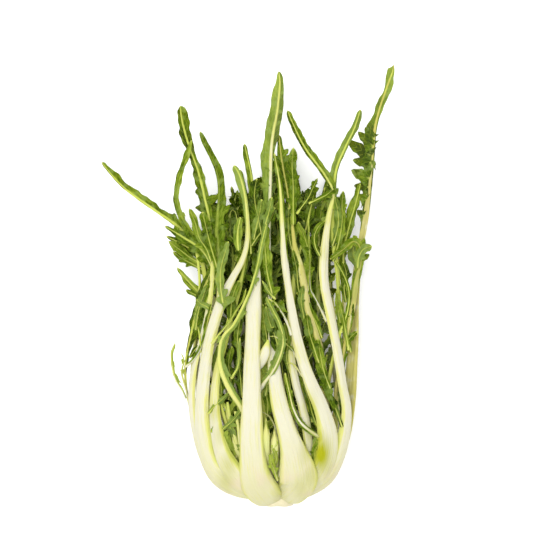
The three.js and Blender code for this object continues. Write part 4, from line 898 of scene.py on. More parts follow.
# Places along a lobe, as shares of its length, and its half widths there towards the leaf's tip and
# towards its root, as shares of its base.
LOBE_LENGTHS = np.array([0.0, 0.1, 0.22, 0.36, 0.5, 0.64, 0.78, 0.91, 1.0])
LOBE_TIP_SIDE = np.array([1.3, 0.9, 0.74, 0.72, 0.8, 0.62, 0.46, 0.3, 0.05])
LOBE_ROOT_SIDE = np.array([1.8, 1.35, 1.05, 0.9, 0.7, 0.78, 0.56, 0.34, 0.05])
LOBE_ROWS = {True: np.arange(9), False: np.array([0, 2, 4, 6, 7, 8])}
LOBE_ACROSS = {True: np.linspace(-1, 1, 5), False: np.linspace(-1, 1, 3)}


# Widths in mm of a side leaf placed at random, and the shades that it may differ by.
BUSH_WIDTHS = np.array([[2.4], [2.0], [1.8], [1.5], [1.0]])
BUSH_TONES = [-0.5, -0.25, 0.15, 0.55]
FLOOR_GAP = 0.25  # mm, the lowest that any point of a leaf lies
SHARP_ANGLE = math.radians(70)


# ---- surfaces -------------------------------------------------------------------------------
def ease(low, high, value):
    """0 below low, 1 above high, and a smooth S in between."""
    share = np.clip((value - low) / (high - low), 0, 1)
    return share * share * (3 - 2 * share)


def unit(vectors):
    """The vectors at length 1."""
    return vectors / np.maximum(np.linalg.norm(vectors, axis=-1, keepdims=True), 1e-9)


def centre_line(route, share):
    """The smooth line through the route's points, with its width as fourth number.

    Centripetal Catmull-Rom: between two points runs a cubic whose end slopes come from the
    neighbours, each stretch weighted by the square root of its length.
    """
    points = np.asarray(route, float)
    padded = np.vstack([2 * points[0] - points[1], points, 2 * points[-1] - points[-2]])
    place = np.clip(share, 0, 1) * (len(points) - 1)
    before = np.minimum(place.astype(int), len(points) - 2)
    t = (place - before)[:, None]
    p0, p1, p2, p3 = (padded[before + k] for k in range(4))
    d0, d1, d2 = (
        np.sqrt(np.maximum(np.linalg.norm((b - a)[:, :3], axis=1), 1e-6))[:, None]
        for a, b in ((p0, p1), (p1, p2), (p2, p3))
    )
    slope1 = ((p1 - p0) / d0 - (p2 - p0) / (d0 + d1) + (p2 - p1) / d1) * d1
    slope2 = ((p2 - p1) / d1 - (p3 - p1) / (d1 + d2) + (p3 - p2) / d2) * d1
    a = 2 * p1 - 2 * p2 + slope1 + slope2
    b = -3 * p1 + 3 * p2 - 2 * slope1 - slope2
    return ((a * t + b) * t + slope1) * t + p1


def smoothed(values):
    """A running mean over five neighbours, with the ends held."""
    padded = np.concatenate([values[:1].repeat(2), values, values[-1:].repeat(2)])
    return np.convolve(padded, np.array([1, 2, 3, 2, 1]) / 9, mode="valid")


def place_share(route, place):
    """Share of the leaf for a place given along the head in mm, or as a share when it is at most 1."""
    place = np.asarray(place, float)
    along = np.asarray(route, float)[:, 1]
    return np.where(place > 1, np.interp(place, along, np.linspace(0, 1, len(along))), place)


def station_shares(route, blade_from, blade_pitch):
    """Shares along the leaf at which it gets a section, closer together along the blade."""
    share = np.linspace(0, 1, 600)
    points = centre_line(route, share)[:, :3]
    step = np.linalg.norm(np.diff(points, axis=0), axis=1)
    pitch = np.where(share[1:] < blade_from, STALK_PITCH, blade_pitch)
    count = np.concatenate([[0], np.cumsum(step / pitch)])
    return np.interp(np.linspace(0, count[-1], max(int(count[-1]), 12)), count, share)


class LeafFrame:
    """A leaf's middle line with the directions, widths and reaches that its surfaces share.

    The back turns from its first angle to its last along a smooth S. The width follows the route
    and thins to the rib along another S where the blade starts. The root end and the tip close as
    square roots of the distance to them, and widths, reaches and waves are uneven as sums of sines.
    """

    def __init__(self, look, rng):
        route = look["route"]
        knots = np.array(look["wings"], float)
        knots[:, 0] = place_share(route, knots[:, 0])
        opens = knots[np.argmax(knots[:, 1:].max(axis=1) > 0.45), 0]
        self.share = station_shares(route, max(opens - 0.08, 0), BLADE_PITCH if look["fine"] else SIDE_PITCH)
        line = centre_line(route, self.share)
        self.middle, width = line[:, :3], np.maximum(line[:, 3], 0.6)
        step = np.linalg.norm(np.diff(self.middle, axis=0), axis=1)
        self.along = np.concatenate([[0], np.cumsum(step)])
        self.tangent = unit(np.gradient(self.middle, self.along, axis=0))
        first, last = look["back"]
        turn = np.radians(first + (last - first) * ease(0.35, 0.75, self.share))
        facing = np.stack([np.sin(turn), np.zeros_like(turn), np.cos(turn)], axis=1)
        self.across = unit(np.cross(self.tangent, facing))
        self.back = np.cross(self.across, self.tangent)
        self.mirror = 1 if np.mean(self.back[len(width) // 2:, 2]) >= 0 else -1
        blade = look["blade"]
        ribbed = ease(blade - 0.06, blade + 0.12, self.share)
        closing = np.sqrt(np.clip((self.along[-1] - self.along) / 4.5, 0.004, 1))
        rib = look["rib"] * (1 - 0.75 * ease(blade, 1, self.share)) * closing
        rooting = np.sqrt(np.clip((self.along + 1) / look["rounding"], 0, 1))
        uneven = 1 + 0.035 * np.sin(self.along * 2 * np.pi / rng.uniform(38, 60) + rng.uniform(0, 6))
        self.half = (width + (np.minimum(width, rib) - width) * ribbed) / 2 * rooting * uneven
        stalk = np.clip(width * look["round"], 1.6, 9.5 if look["round"] < 0.8 else 12)
        self.thick = stalk + (np.minimum(stalk, 1.5) - stalk) * ribbed
        ragged = look["ragged"]
        reach = [
            smoothed(smoothed(np.interp(self.share, knots[:, 0], knots[:, k]))) * closing * (
                1 + 1.5 * ragged * np.sin(self.along * 2 * np.pi / rng.uniform(22, 34) + rng.uniform(0, 6))
                + ragged * np.sin(self.along * 2 * np.pi / rng.uniform(9, 14) + rng.uniform(0, 6))
            )
            for k in (1, 2)
        ]
        self.reach = {-self.mirror: reach[0], self.mirror: reach[1]}
        self.fold = math.radians(look["fold"])
        self.waves = {
            side: look["wave"] * (
                np.sin(self.along * 2 * np.pi / rng.uniform(20, 30) + rng.uniform(0, 6))
                + 0.6 * np.sin(self.along * 2 * np.pi / rng.uniform(9, 13) + rng.uniform(0, 6))
            )
            for side in (-1, 1)
        }
        self.quilt = {side: rng.uniform(0, 6) for side in (-1, 1)}

    def at(self, shares, values):
        """Values of the frame at other shares, straight between its sections."""
        values = np.asarray(values)
        if values.ndim == 1:
            return np.interp(shares, self.share, values)
        return np.stack([np.interp(shares, self.share, column) for column in values.T], axis=1)


def spine_surface(leaf, look):
    """The stalk, the rib and the undivided blade as one closed skin of rings.

    Each ring goes once round: out over the back of the right wing and home on its inner face,
    over the hollow inner face of the stalk, the same on the left wing, and over the rounded back.
    A wing point lies at rib edge + reach * q, folded by a fixed angle, waved by q squared and
    puckered by a product of sines along and across the blade.
    """
    rows = len(leaf.share)
    wing_steps, back_arc, inner_arc = SECTIONS[look["fine"]]
    columns = []

    def add(u, n, forward, flesh, under):
        shape = np.zeros(rows)
        columns.append([shape + value for value in (u, n, forward, flesh, under)])

    def wing(side, steps, outer):
        reach = leaf.reach[side]
        for q in steps:
            lateral = reach * q
            sheet = 0.55 - 0.25 * q
            rise = -math.sin(leaf.fold) * lateral + leaf.waves[side] * q * q * ease(0.5, 4, reach)
            rise = rise + look["quilt"] * ease(1.5, 4, reach) * math.sin(math.pi * min(q * 1.4, 1)) * np.sin(
                (leaf.along - 1.2 * lateral) * 2 * np.pi / 5.5 + leaf.quilt[side]
            )
            n = rise + (sheet if outer else -sheet) / 2
            u = side * (leaf.half * 0.95 + math.cos(leaf.fold) * lateral)
            flesh = 1 - ease(0, 0.3, q) * ease(0.4, 1.3, reach)
            flesh = flesh * (1 - (1 - look["veined"]) * ease(0.4, 1.3, reach))
            add(u, n, 0.45 * lateral, flesh, float(outer))

    bladed = ease(0.4, 1.3, np.maximum(leaf.reach[1], leaf.reach[-1]))
    rib_flesh = 1 - (1 - look["veined"]) * bladed
    wing(1, wing_steps, True)
    wing(1, wing_steps[::-1], False)
    for angle in inner_arc:
        s = math.sin(angle)
        n = -0.42 * leaf.thick * (s - 0.85 * s ** 3)
        add(leaf.half * math.cos(angle), n - 0.2, 0, rib_flesh, 0)
    wing(-1, wing_steps, False)
    wing(-1, wing_steps[::-1], True)
    for angle in back_arc:
        n = 0.6 * leaf.thick * math.sin(angle) ** 0.85
        add(leaf.half * math.cos(angle), n + 0.15, 0, rib_flesh, 1)
    u, n, forward, flesh, under = (np.stack(part, axis=1) for part in zip(*columns))
    points = (
        leaf.middle[:, None]
        + u[..., None] * leaf.across[:, None]
        + n[..., None] * leaf.back[:, None]
        + forward[..., None] * leaf.tangent[:, None]
    )
    first, last = look["pale"]
    white = np.broadcast_to(1 - ease(first, last, leaf.share)[:, None], u.shape)
    rim = np.abs(u) / np.maximum(leaf.half[:, None], 0.1)
    return dict(
        points=points.reshape(1, rows, -1, 3),
        flesh=flesh, under=under, white=white,
        # split raises the tone on one half of the blade and lowers it on the other: painted light and painted
        # shade.
        tone=along_leaf(look["tone"], leaf.share, u.shape)
        + look["split"] * leaf.mirror * np.clip(u / 1.5, -1, 1),
        grey=along_leaf(look["grey"], leaf.share, u.shape),
        tan=np.full(u.shape, look["tan"]), rim=np.clip(rim, 0, 1) * flesh,
        uv=np.stack([u, np.broadcast_to(leaf.along[:, None], u.shape)], axis=-1),
    )


def lobe_list(look, rng):
    """The leaf's lobes as rows of share, side, length, base, lean, curl, bend, twist and tone."""
    rows = [list(lobe) for lobe in look["lobes"]]
    if look["fringe"]:
        start, stop, pitch, left, right = look["fringe"]
        for side, length in ((-1, left), (1, right)):
            places = np.arange(start + rng.uniform(0, pitch), stop, pitch)
            for place in places:
                fade = math.sin(math.pi * (0.18 + 0.7 * (place - start) / (stop - start)))
                rows.append([
                    place + rng.uniform(-0.25, 0.25) * pitch, side,
                    length * fade * rng.uniform(0.7, 1.25), length * rng.uniform(0.26, 0.42),
                    rng.uniform(10, 55),
                ])
    if not rows:
        return None
    rows = np.array(rows, float)
    rows[:, 0] = place_share(look["route"], rows[:, 0])
    count = len(rows)
    extra = np.stack([
        rng.uniform(-0.35, 0.55, count), rng.uniform(-0.1, 0.5, count),
        rng.uniform(-0.5, 0.5, count),
        # split paints light on the lobes of one side and shade on those of the other.
        along_leaf(look["tone"], rows[:, 0], count) + rng.normal(0, 0.1, count) + look["split"] * rows[:, 1],
    ], axis=1)
    return np.hstack([rows, extra])


def lobe_surface(leaf, look, lobes):
    """The lobes of a leaf, each a thin closed pointed sheet growing from the rib's edge.

    A point lies at base + length * (a outward + a squared * (bend forward - curl to the back)),
    moved along the lobe's chord by its half width at a, and by half the sheet's thickness.
    """
    share, picture_side, length, base, lean, curl, bend, twist, tone = lobes.T
    rows, lobe_across = LOBE_ROWS[look["fine"]], LOBE_ACROSS[look["fine"]]
    places = LOBE_LENGTHS[rows]
    side = (picture_side * leaf.mirror)[:, None]
    middle, tangent = leaf.at(share, leaf.middle), unit(leaf.at(share, leaf.tangent))
    across, back = unit(leaf.at(share, leaf.across)), unit(leaf.at(share, leaf.back))
    half = leaf.at(share, leaf.half)[:, None]
    outward = side * math.cos(leaf.fold) * across - math.sin(leaf.fold) * back
    lean = np.radians(lean)[:, None]
    axis = np.cos(lean) * outward + np.sin(lean) * tangent
    chord = -np.sin(lean) * outward + np.cos(lean) * tangent
    normal = side * np.cross(axis, chord)
    start = middle + outward * (half * 0.85 - 0.3)
    a = places[None, :, None]
    shape = (len(share), 1, 1)
    length_, bend_, curl_ = length.reshape(shape), bend.reshape(shape), curl.reshape(shape)
    line = start[:, None] + length_ * (
        a * axis[:, None] + a * a * (bend_ * 0.5 * chord[:, None] + curl_ * 0.5 * normal[:, None])
    )
    angle = twist.reshape(shape) * a * 1.6
    chord_ = np.cos(angle) * chord[:, None] + np.sin(angle) * normal[:, None]
    normal_ = np.cos(angle) * normal[:, None] - np.sin(angle) * chord[:, None]
    place = np.concatenate([lobe_across, lobe_across[::-1]])
    outer = np.repeat([1.0, -1.0], len(lobe_across))
    c = -side * place[None]
    forward_half = base[:, None] * LOBE_TIP_SIDE[None, rows]
    rear_half = base[:, None] * LOBE_ROOT_SIDE[None, rows]
    width = np.where(c[:, None] > 0, forward_half[:, :, None], rear_half[:, :, None])
    offset = c[:, None] * width
    sheet = (0.5 - 0.3 * places)[None, :, None] * outer[None, None] / 2
    cup = sheet - 0.12 * np.abs(offset)
    points = line[:, :, None] + offset[..., None] * chord_[:, :, None] + cup[..., None] * normal_[:, :, None]
    full = np.ones(offset.shape)
    centre = 1 - np.minimum(np.abs(c[:, None]) * full * 3.0, 1)
    return dict(
        points=points,
        flesh=0.66 * centre * (1 - places)[None, :, None] ** 1.5,
        under=full * (outer > 0), white=full * 0.15, tone=full * tone[:, None, None], rim=full * 0.5,
        grey=full * along_leaf(look["grey"], share, len(share))[:, None, None], tan=full * 0,
        uv=np.stack([offset, full * (length[:, None] * places)[:, :, None]], axis=-1),
    )


def ring_faces(patches, rows, columns, offset):
    """Quads round rows of rings, with both ends closed by strips across the ring."""
    start = offset + np.arange(patches)[:, None, None] * rows * columns
    row = np.arange(rows - 1)[None, :, None] * columns
    column = np.arange(columns)[None, None]
    after = (column + 1) % columns
    here, beside = start + row + column, start + row + after
    walls = np.stack([here, beside, beside + columns, here + columns], axis=-1).reshape(-1, 4)
    step = np.arange(columns // 2 - 1)
    strip = np.stack([step, step + 1, columns - 2 - step, columns - 1 - step], axis=-1)
    first = (start + strip[None, :, ::-1]).reshape(-1, 4)
    last = (start + (rows - 1) * columns + strip[None]).reshape(-1, 4)
    return np.concatenate([walls, first, last])


def build_piece(name, surfaces, material):
    """Makes one mesh object from closed patches, and puts it in place of the CAD node of that name."""
    points, faces, offset = [], [], 0
    fields = {key: [] for key in ("flesh", "under", "white", "tone", "rim", "grey", "tan")}
    uv = []
    for surface in surfaces:
        patches, rows, columns = surface["points"].shape[:3]
        faces.append(ring_faces(patches, rows, columns, offset))
        points.append(surface["points"].reshape(-1, 3))
        uv.append(surface["uv"].reshape(-1, 2))
        for key, parts in fields.items():
            parts.append(np.asarray(surface[key], float).reshape(-1))
        offset += patches * rows * columns
    points = np.concatenate(points) + SHIFT
    points[:, 2] = np.maximum(points[:, 2], FLOOR_GAP)
    faces = np.concatenate(faces)
    mesh = bpy.data.meshes.new(name)
    mesh.from_pydata((points * MM).tolist(), [], faces.tolist())
    mesh.polygons.foreach_set("use_smooth", np.ones(len(faces), bool))
    for key, parts in fields.items():
        attribute = mesh.attributes.new(key, "FLOAT", "POINT")
        attribute.data.foreach_set("value", np.concatenate(parts).astype(np.float32))
    layer = mesh.uv_layers.new(name="leaf_map")
    corner = np.empty(len(mesh.loops), np.int32)
    mesh.loops.foreach_get("vertex_index", corner)
    layer.data.foreach_set("uv", (np.concatenate(uv)[corner] * MM).astype(np.float32).reshape(-1))
    mesh.materials.append(material)
    mesh.update()
    mesh.set_sharp_from_angle(angle=SHARP_ANGLE)
    return place_piece(name, mesh)


def place_piece(name, mesh):
    """Puts a finished mesh in the scene in place of the CAD node of that name."""
    piece = bpy.data.objects.new(name + "_skin", mesh)
    bpy.context.scene.collection.objects.link(piece)
    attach(piece, "root")
    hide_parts(name)
    return piece


def along_leaf(value, share, shape):
    """One value for the whole leaf, or a pair that changes from the blade's root to its tip."""
    low, high = np.broadcast_to(value, 2)
    ramp = np.asarray(low + (high - low) * ease(0.7, 0.88, share))
    missing = np.zeros(shape).ndim - ramp.ndim
    return np.broadcast_to(ramp.reshape(ramp.shape + (1,) * missing), shape)


def side_leaves(leaf, look, rng):
    """Looks of the small lobed leaves that grow from a stalk.

    Each follows a bent line, a parabola through three points: it leaves the stalk's middle along
    the stalk, and turns by 0.4 to 1.2 of the spread towards a random side, to end inside the
    head's room.
    """
    start, stop, count, length, spread = look["bush"]
    looks = []
    for number in range(count):
        share = start + (stop - start) * ((number + rng.uniform(0.1, 0.9)) / count) ** 1.25
        root, ahead = (leaf.at([share], values)[0] for values in (leaf.middle, leaf.tangent))
        side = rng.uniform(0, 2 * np.pi)
        lean = math.radians(spread) * rng.uniform(0.4, 1.2)
        away = np.array([math.cos(side), 0, 0.7 * math.sin(side)])
        size = length * rng.uniform(0.6, 1.25)
        tip = root + size * (math.cos(lean) * ahead + math.sin(lean) * away)
        tip[1] = min(tip[1], np.interp(tip[0], *REACH_LIMIT.T) - rng.uniform(0, 10))
        bounds = [np.interp(tip[1], ROOM[:, 0], ROOM[:, k]) for k in range(1, 5)]
        tip[0] = np.clip(tip[0], bounds[0], bounds[1])
        tip[2] = np.clip(tip[2], bounds[2], bounds[3])
        t = np.linspace(0, 1, 5)[:, None]
        bow = root + 0.5 * size * unit(ahead + 0.4 * rng.normal(size=3))
        line = (1 - t) ** 2 * root + 2 * t * (1 - t) * bow + t * t * tip
        blade = rng.uniform(1.6, 3.6)
        looks.append({
            **LOOK, **SIDE_LOOK, "route": np.hstack([line, BUSH_WIDTHS]),
            "back": (rng.uniform(-70, 70),) * 2, "wings": blade_outline(blade, blade),
            "veined": rng.uniform(0.2, 0.7),
            "tone": np.mean(look["tone"]) + rng.choice(BUSH_TONES) + 0.45 * ease(95, 55, root[1]),
            # Painted light: the random split lightens one half of the side leaf's blade and darkens the
            # other, and the random grey is partly painted highlight.
            "grey": rng.choice([0, 0, 0.3, 0.8]), "split": rng.uniform(-0.4, 0.4),
            "fold": rng.uniform(5, 35), "ragged": 0.2,
            "fringe": (0.2, 0.95, 6.5 / size, rng.uniform(4, 9), rng.uniform(4, 9)),
        })
    return looks


def make_leaf(name, look, seed, material):
    """One leaf: the closed skin of its stalk, rib and blade, with its lobes and side leaves."""
    rng = np.random.default_rng(seed)
    leaf = LeafFrame(look, rng)
    looks = [look] + (side_leaves(leaf, look, rng) if look["bush"] else [])
    looks += [{**LOOK, **SIDE_LOOK, **own} for own in SIDE_LEAVES.get(name, [])]
    surfaces = []
    for own in looks:
        own_leaf = leaf if own is look else LeafFrame(own, rng)
        surfaces.append(spine_surface(own_leaf, own))
        lobes = lobe_list(own, rng)
        if lobes is not None:
            surfaces.append(lobe_surface(own_leaf, own, lobes))
    return build_piece(name, surfaces, material)


# ---- materials ------------------------------------------------------------------------------
class Nodes:
    """Short calls that add linked nodes to one material."""

    def __init__(self, name):
        self.material = bpy.data.materials.new(name)
        self.material.use_nodes = True
        self.tree = self.material.node_tree
        self.tree.nodes.clear()

    def add(self, kind, inputs=(), **settings):
        node = self.tree.nodes.new(kind)
        for key, value in settings.items():
            setattr(node, key, value)
        for key, value in dict(inputs).items():
            if isinstance(value, bpy.types.NodeSocket):
                self.tree.links.new(value, node.inputs[key])
            else:
                node.inputs[key].default_value = value
        return node

    def attribute(self, name):
        return self.add("ShaderNodeAttribute", attribute_name=name).outputs["Fac"]

    def math(self, operation, *values, clamp=False):
        return self.add(
            "ShaderNodeMath", enumerate(values), operation=operation, use_clamp=clamp
        ).outputs[0]

    def mix(self, share, first, second):
        node = self.add("ShaderNodeMix", {0: share, 6: first, 7: second}, data_type="RGBA")
        return node.outputs[2]

    def range(self, value, low, high, to_low=0.0, to_high=1.0):
        node = self.add(
            "ShaderNodeMapRange",
            {0: value, 1: low, 2: high, 3: to_low, 4: to_high},
            interpolation_type="SMOOTHSTEP",
        )
        return node.outputs[0]

    def ramp(self, value, stops):
        node = self.add("ShaderNodeValToRGB", {0: value})
        elements = node.color_ramp.elements
        while len(elements) < len(stops):
            elements.new(0.5)
        for element, (position, colour) in zip(elements, stops):
            element.position = position
            element.color = (*colour, 1)
        return node.outputs[0]

    def noise(self, vector, scale, detail=2.0, rough=0.5):
        inputs = {"Vector": vector, "Scale": scale, "Detail": detail, "Roughness": rough}
        return self.add("ShaderNodeTexNoise", inputs).outputs["Fac"]


def leaf_material(name, settings, shoot):
    """White or yellow-green flesh and a green blade, told apart by the piece's own attributes.

    The flesh has fine stripes along the leaf, the blade has slanting side veins on both sides of
    the rib and a mottled green, and both take a fine relief from the same patterns.
    """
    n = Nodes(name)
    flesh, white, tone = n.attribute("flesh"), n.attribute("white"), n.attribute("tone")
    under, rim, grey, tan = (n.attribute(key) for key in ("under", "rim", "grey", "tan"))
    uv = n.add("ShaderNodeUVMap", uv_map="leaf_map").outputs[0]
    split = n.add("ShaderNodeSeparateXYZ", {0: uv})
    lateral, along = n.math("ABSOLUTE", split.outputs[0]), split.outputs[1]
    place = n.add("ShaderNodeTexCoord").outputs["Object"]

    # The blade's green: mottled, paler and greyer on its back, with painted bluish-grey highlight patches
    # and light side veins.
    mottle = n.noise(place, 70, 2)
    streak_map = n.add("ShaderNodeMapping", {"Vector": uv, "Scale": (1, 0.15, 1)}).outputs[0]
    fine = n.noise(streak_map, 650, 2)
    shade = n.math("ADD", tone, n.math("MULTIPLY", n.math("SUBTRACT", mottle, 0.5), 1.3))
    shade = n.math("ADD", shade, n.math("MULTIPLY", n.math("SUBTRACT", fine, 0.5), 1.2))
    green = n.ramp(shade, [
        (0.0, settings.leaf_dark), (0.45, settings.leaf_green), (1.0, settings.leaf_bright),
    ])
    slant = n.math("SUBTRACT", along, n.math("MULTIPLY", lateral, 1.1))
    slant = n.math("ADD", slant, n.math("MULTIPLY", n.noise(place, 150, 2), 0.003))
    vein = n.math("SINE", n.math("MULTIPLY", slant, 2 * math.pi / 0.0055))
    vein = n.range(vein, 0.75, 1.0)
    back_green = n.mix(0.5, green, (*settings.leaf_back, 1))
    green = n.mix(n.math("MULTIPLY", under, 0.12), green, back_green)
    # Painted highlight: random patches, with each leaf's grey, mix the blade towards the greyish leaf-back
    # colour; the grey is partly the leaf's own greyish coat.
    painted_sheen_patches = n.range(n.noise(place, 130, 2), 0.5, 0.68)
    grey_bloom_and_sheen = n.math("MULTIPLY_ADD", painted_sheen_patches, 0.55, n.math("MULTIPLY", grey, 0.75), clamp=True)
    green = n.mix(grey_bloom_and_sheen, green, (*settings.leaf_back, 1))
    green = n.mix(n.math("MULTIPLY", vein, 0.3), green, (*settings.leaf_bright, 1))

    # The flesh: cream white low on the stalk, yellow green higher up and towards its edges, with painted
    # yellow-green shade in the creases between the stalks near the root.
    stripe_map = n.add("ShaderNodeMapping", {"Vector": uv, "Scale": (1, 0.05, 1)}).outputs[0]
    stripes = n.noise(stripe_map, 1100, 3, 0.6)
    folds = n.noise(stripe_map, 330, 2, 0.5)
    broad = n.noise(place, 40, 2)
    length = n.add("ShaderNodeSeparateXYZ", {0: place}).outputs[1]
    length = n.math("ADD", length, n.math("MULTIPLY", n.math("SUBTRACT", broad, 0.5), 0.06))
    # The stalks' edges turn yellow-green: their own greener margins along the whole stalk, with painted shade
    # added in the creases near the root.
    rim_green_and_crease_shade = n.math("MULTIPLY_ADD", n.range(length, -0.16, -0.1, 1.0, 0.0), 0.6, 0.28)
    rim_green_and_crease_shade = n.math("MULTIPLY", rim_green_and_crease_shade, n.math("ADD", broad, 0.5))
    edge = n.math("MULTIPLY", n.range(rim, 0.72, 1.0), rim_green_and_crease_shade)
    tint = n.math("ADD", n.math("SUBTRACT", 1.0, white), edge)
    tint = n.math("ADD", tint, n.math("MULTIPLY", n.math("SUBTRACT", stripes, 0.5), 0.8))
    tint = n.math("ADD", tint, n.math("MULTIPLY", n.math("SUBTRACT", folds, 0.5), 0.7))
    tint = n.math("ADD", tint, n.math("MULTIPLY", n.math("SUBTRACT", broad, 0.5), 0.5))
    pale = settings.shoot_colour if shoot else settings.stalk_white
    flesh_colour = n.ramp(tint, [
        (0.0, pale), (0.35, settings.stalk_cream), (0.9, settings.stalk_green),
    ])
    low = n.range(length, -0.19, -0.12, 1.0, 0.0)
    flesh_colour = n.mix(n.math("MULTIPLY", low, 0.6), flesh_colour, (*settings.stalk_base, 1))
    blush = n.math("MULTIPLY", low, n.range(n.noise(place, 55, 2), 0.5, 0.7))
    flesh_colour = n.mix(n.math("MULTIPLY", blush, 0.5), flesh_colour, (*settings.stalk_blush, 1))
    # Painted shade: yellow-green patches darken the flesh in the creases between the stalks near the root.
    crease_shade = 0.0
    crease_shade_map = n.add("ShaderNodeMapping", {"Vector": place, "Scale": CREASE_SHADE_STRETCH}).outputs[0]
    for *centre, radius, strength in CREASE_SHADE_SPOTS:
        middle = tuple(c * stretch for c, stretch in zip(centre, CREASE_SHADE_STRETCH))
        away = n.add("ShaderNodeVectorMath", {0: crease_shade_map, 1: middle}, operation="DISTANCE").outputs["Value"]
        crease_shade = n.math("MAXIMUM", crease_shade, n.range(away, 0.0, radius, strength, 0.0))
    crease_shade = n.math("MULTIPLY", crease_shade, n.math("MULTIPLY_ADD", stripes, 0.6, 0.6), clamp=True)
    flesh_colour = n.mix(crease_shade, flesh_colour, (*settings.stalk_crease_shade, 1))
    patches = n.range(n.noise(place, 60, 3), 0.3, 0.48)
    tanned = n.math("MULTIPLY", n.math("MULTIPLY", patches, tan), n.math("SUBTRACT", 1.0, low))
    flesh_colour = n.mix(tanned, flesh_colour, (*settings.stalk_tan, 1))
    mask = n.range(flesh, 0.35, 0.75)
    colour = n.mix(mask, green, flesh_colour)

    # Relief: stripes on the flesh, veins and crinkles on the blade.
    crinkle = n.math("MULTIPLY_ADD", fine, 0.6, n.math("MULTIPLY", n.noise(place, 140, 2), 0.8))
    blade_relief = n.math("SUBTRACT", crinkle, n.math("MULTIPLY", vein, 0.35))
    flesh_relief = n.math("MULTIPLY_ADD", folds, 1.4, n.math("MULTIPLY", stripes, 0.4))
    relief = n.add("ShaderNodeMix", {0: mask, 2: blade_relief, 3: flesh_relief}, data_type="FLOAT")
    bump = n.add("ShaderNodeBump", {"Height": relief.outputs[0], "Strength": 0.7, "Distance": 0.0014})
    rough = n.math("ADD", n.math("MULTIPLY", mask, -0.06), n.math("MULTIPLY_ADD", fine, 0.16, 0.42))
    shader = n.add("ShaderNodeBsdfPrincipled", {
        "Base Color": colour, "Roughness": rough, "Normal": bump.outputs[0], "Specular IOR Level": 0.015,
        "Subsurface Weight": 0.12, "Subsurface Radius": (1.0, 0.8, 0.35), "Subsurface Scale": 0.003,
    })
    glow = n.add("ShaderNodeBsdfTranslucent", {"Color": colour, "Normal": bump.outputs[0]})
    share = n.math("MULTIPLY", n.math("SUBTRACT", 1.0, mask), 0.25)
    both = n.add("ShaderNodeMixShader", {0: share, 1: shader.outputs[0], 2: glow.outputs[0]})
    n.add("ShaderNodeOutputMaterial", {0: both.outputs[0]})
    return n.material


def root_material(settings):
    """Dry fibrous skin round the stump, with browned rings on its cut face."""
    n = Nodes("cut_root")
    place = n.add("ShaderNodeTexCoord").outputs["Object"]
    cut = n.attribute("cut")
    ring = n.attribute("ring")
    uneven_ring = n.math("ADD", ring, n.math("MULTIPLY", n.noise(place, 120, 2), 0.15))
    rings = n.math("SINE", n.math("MULTIPLY", uneven_ring, 34.0))
    fibres = n.noise(place, 300, 4, 0.6)
    brown = n.math("ADD", n.range(ring, 0.55, 1.0), n.math("MULTIPLY", n.math("SUBTRACT", fibres, 0.5), 0.9))
    brown = n.math("ADD", brown, n.math("MULTIPLY", rings, 0.12))
    face = n.ramp(brown, [(0.0, settings.root_cream), (0.6, settings.root_ring), (1.0, settings.root_brown)])
    side = n.ramp(fibres, [(0.3, settings.root_fibre), (0.7, settings.root_cream)])
    colour = n.mix(cut, side, face)
    height = n.math("ADD", n.math("MULTIPLY", rings, 0.2), fibres)
    bump = n.add("ShaderNodeBump", {"Height": height, "Strength": 0.7, "Distance": 0.0008})
    shader = n.add("ShaderNodeBsdfPrincipled", {
        "Base Color": colour, "Normal": bump.outputs[0],
        "Roughness": n.math("MULTIPLY_ADD", fibres, 0.2, 0.6),
    })
    n.add("ShaderNodeOutputMaterial", {0: shader.outputs[0]})
    return n.material


# ---- settings -------------------------------------------------------------------------------
FLOOR_REACH = 4.0  # metres from the head to the floor's edge
VIEW_WIDTH = 0.509  # metres that the camera sees across, at the height of the head's middle
VIEW_CENTRE = (0.02854, 0.0048)  # where the camera looks, in metres on the row
HEAD_MIDDLE = 0.06  # height of the head's middle above the floor, in metres
SENSOR = 36  # width of the camera's sensor, in mm
CLIP_END = 20  # metres from the camera to where its view ends


def colour_property(label, note, default):
    """A colour that a user may change."""
    return FloatVectorProperty(
        name=label, description=note, subtype="COLOR", size=3, min=0, max=1, default=default
    )


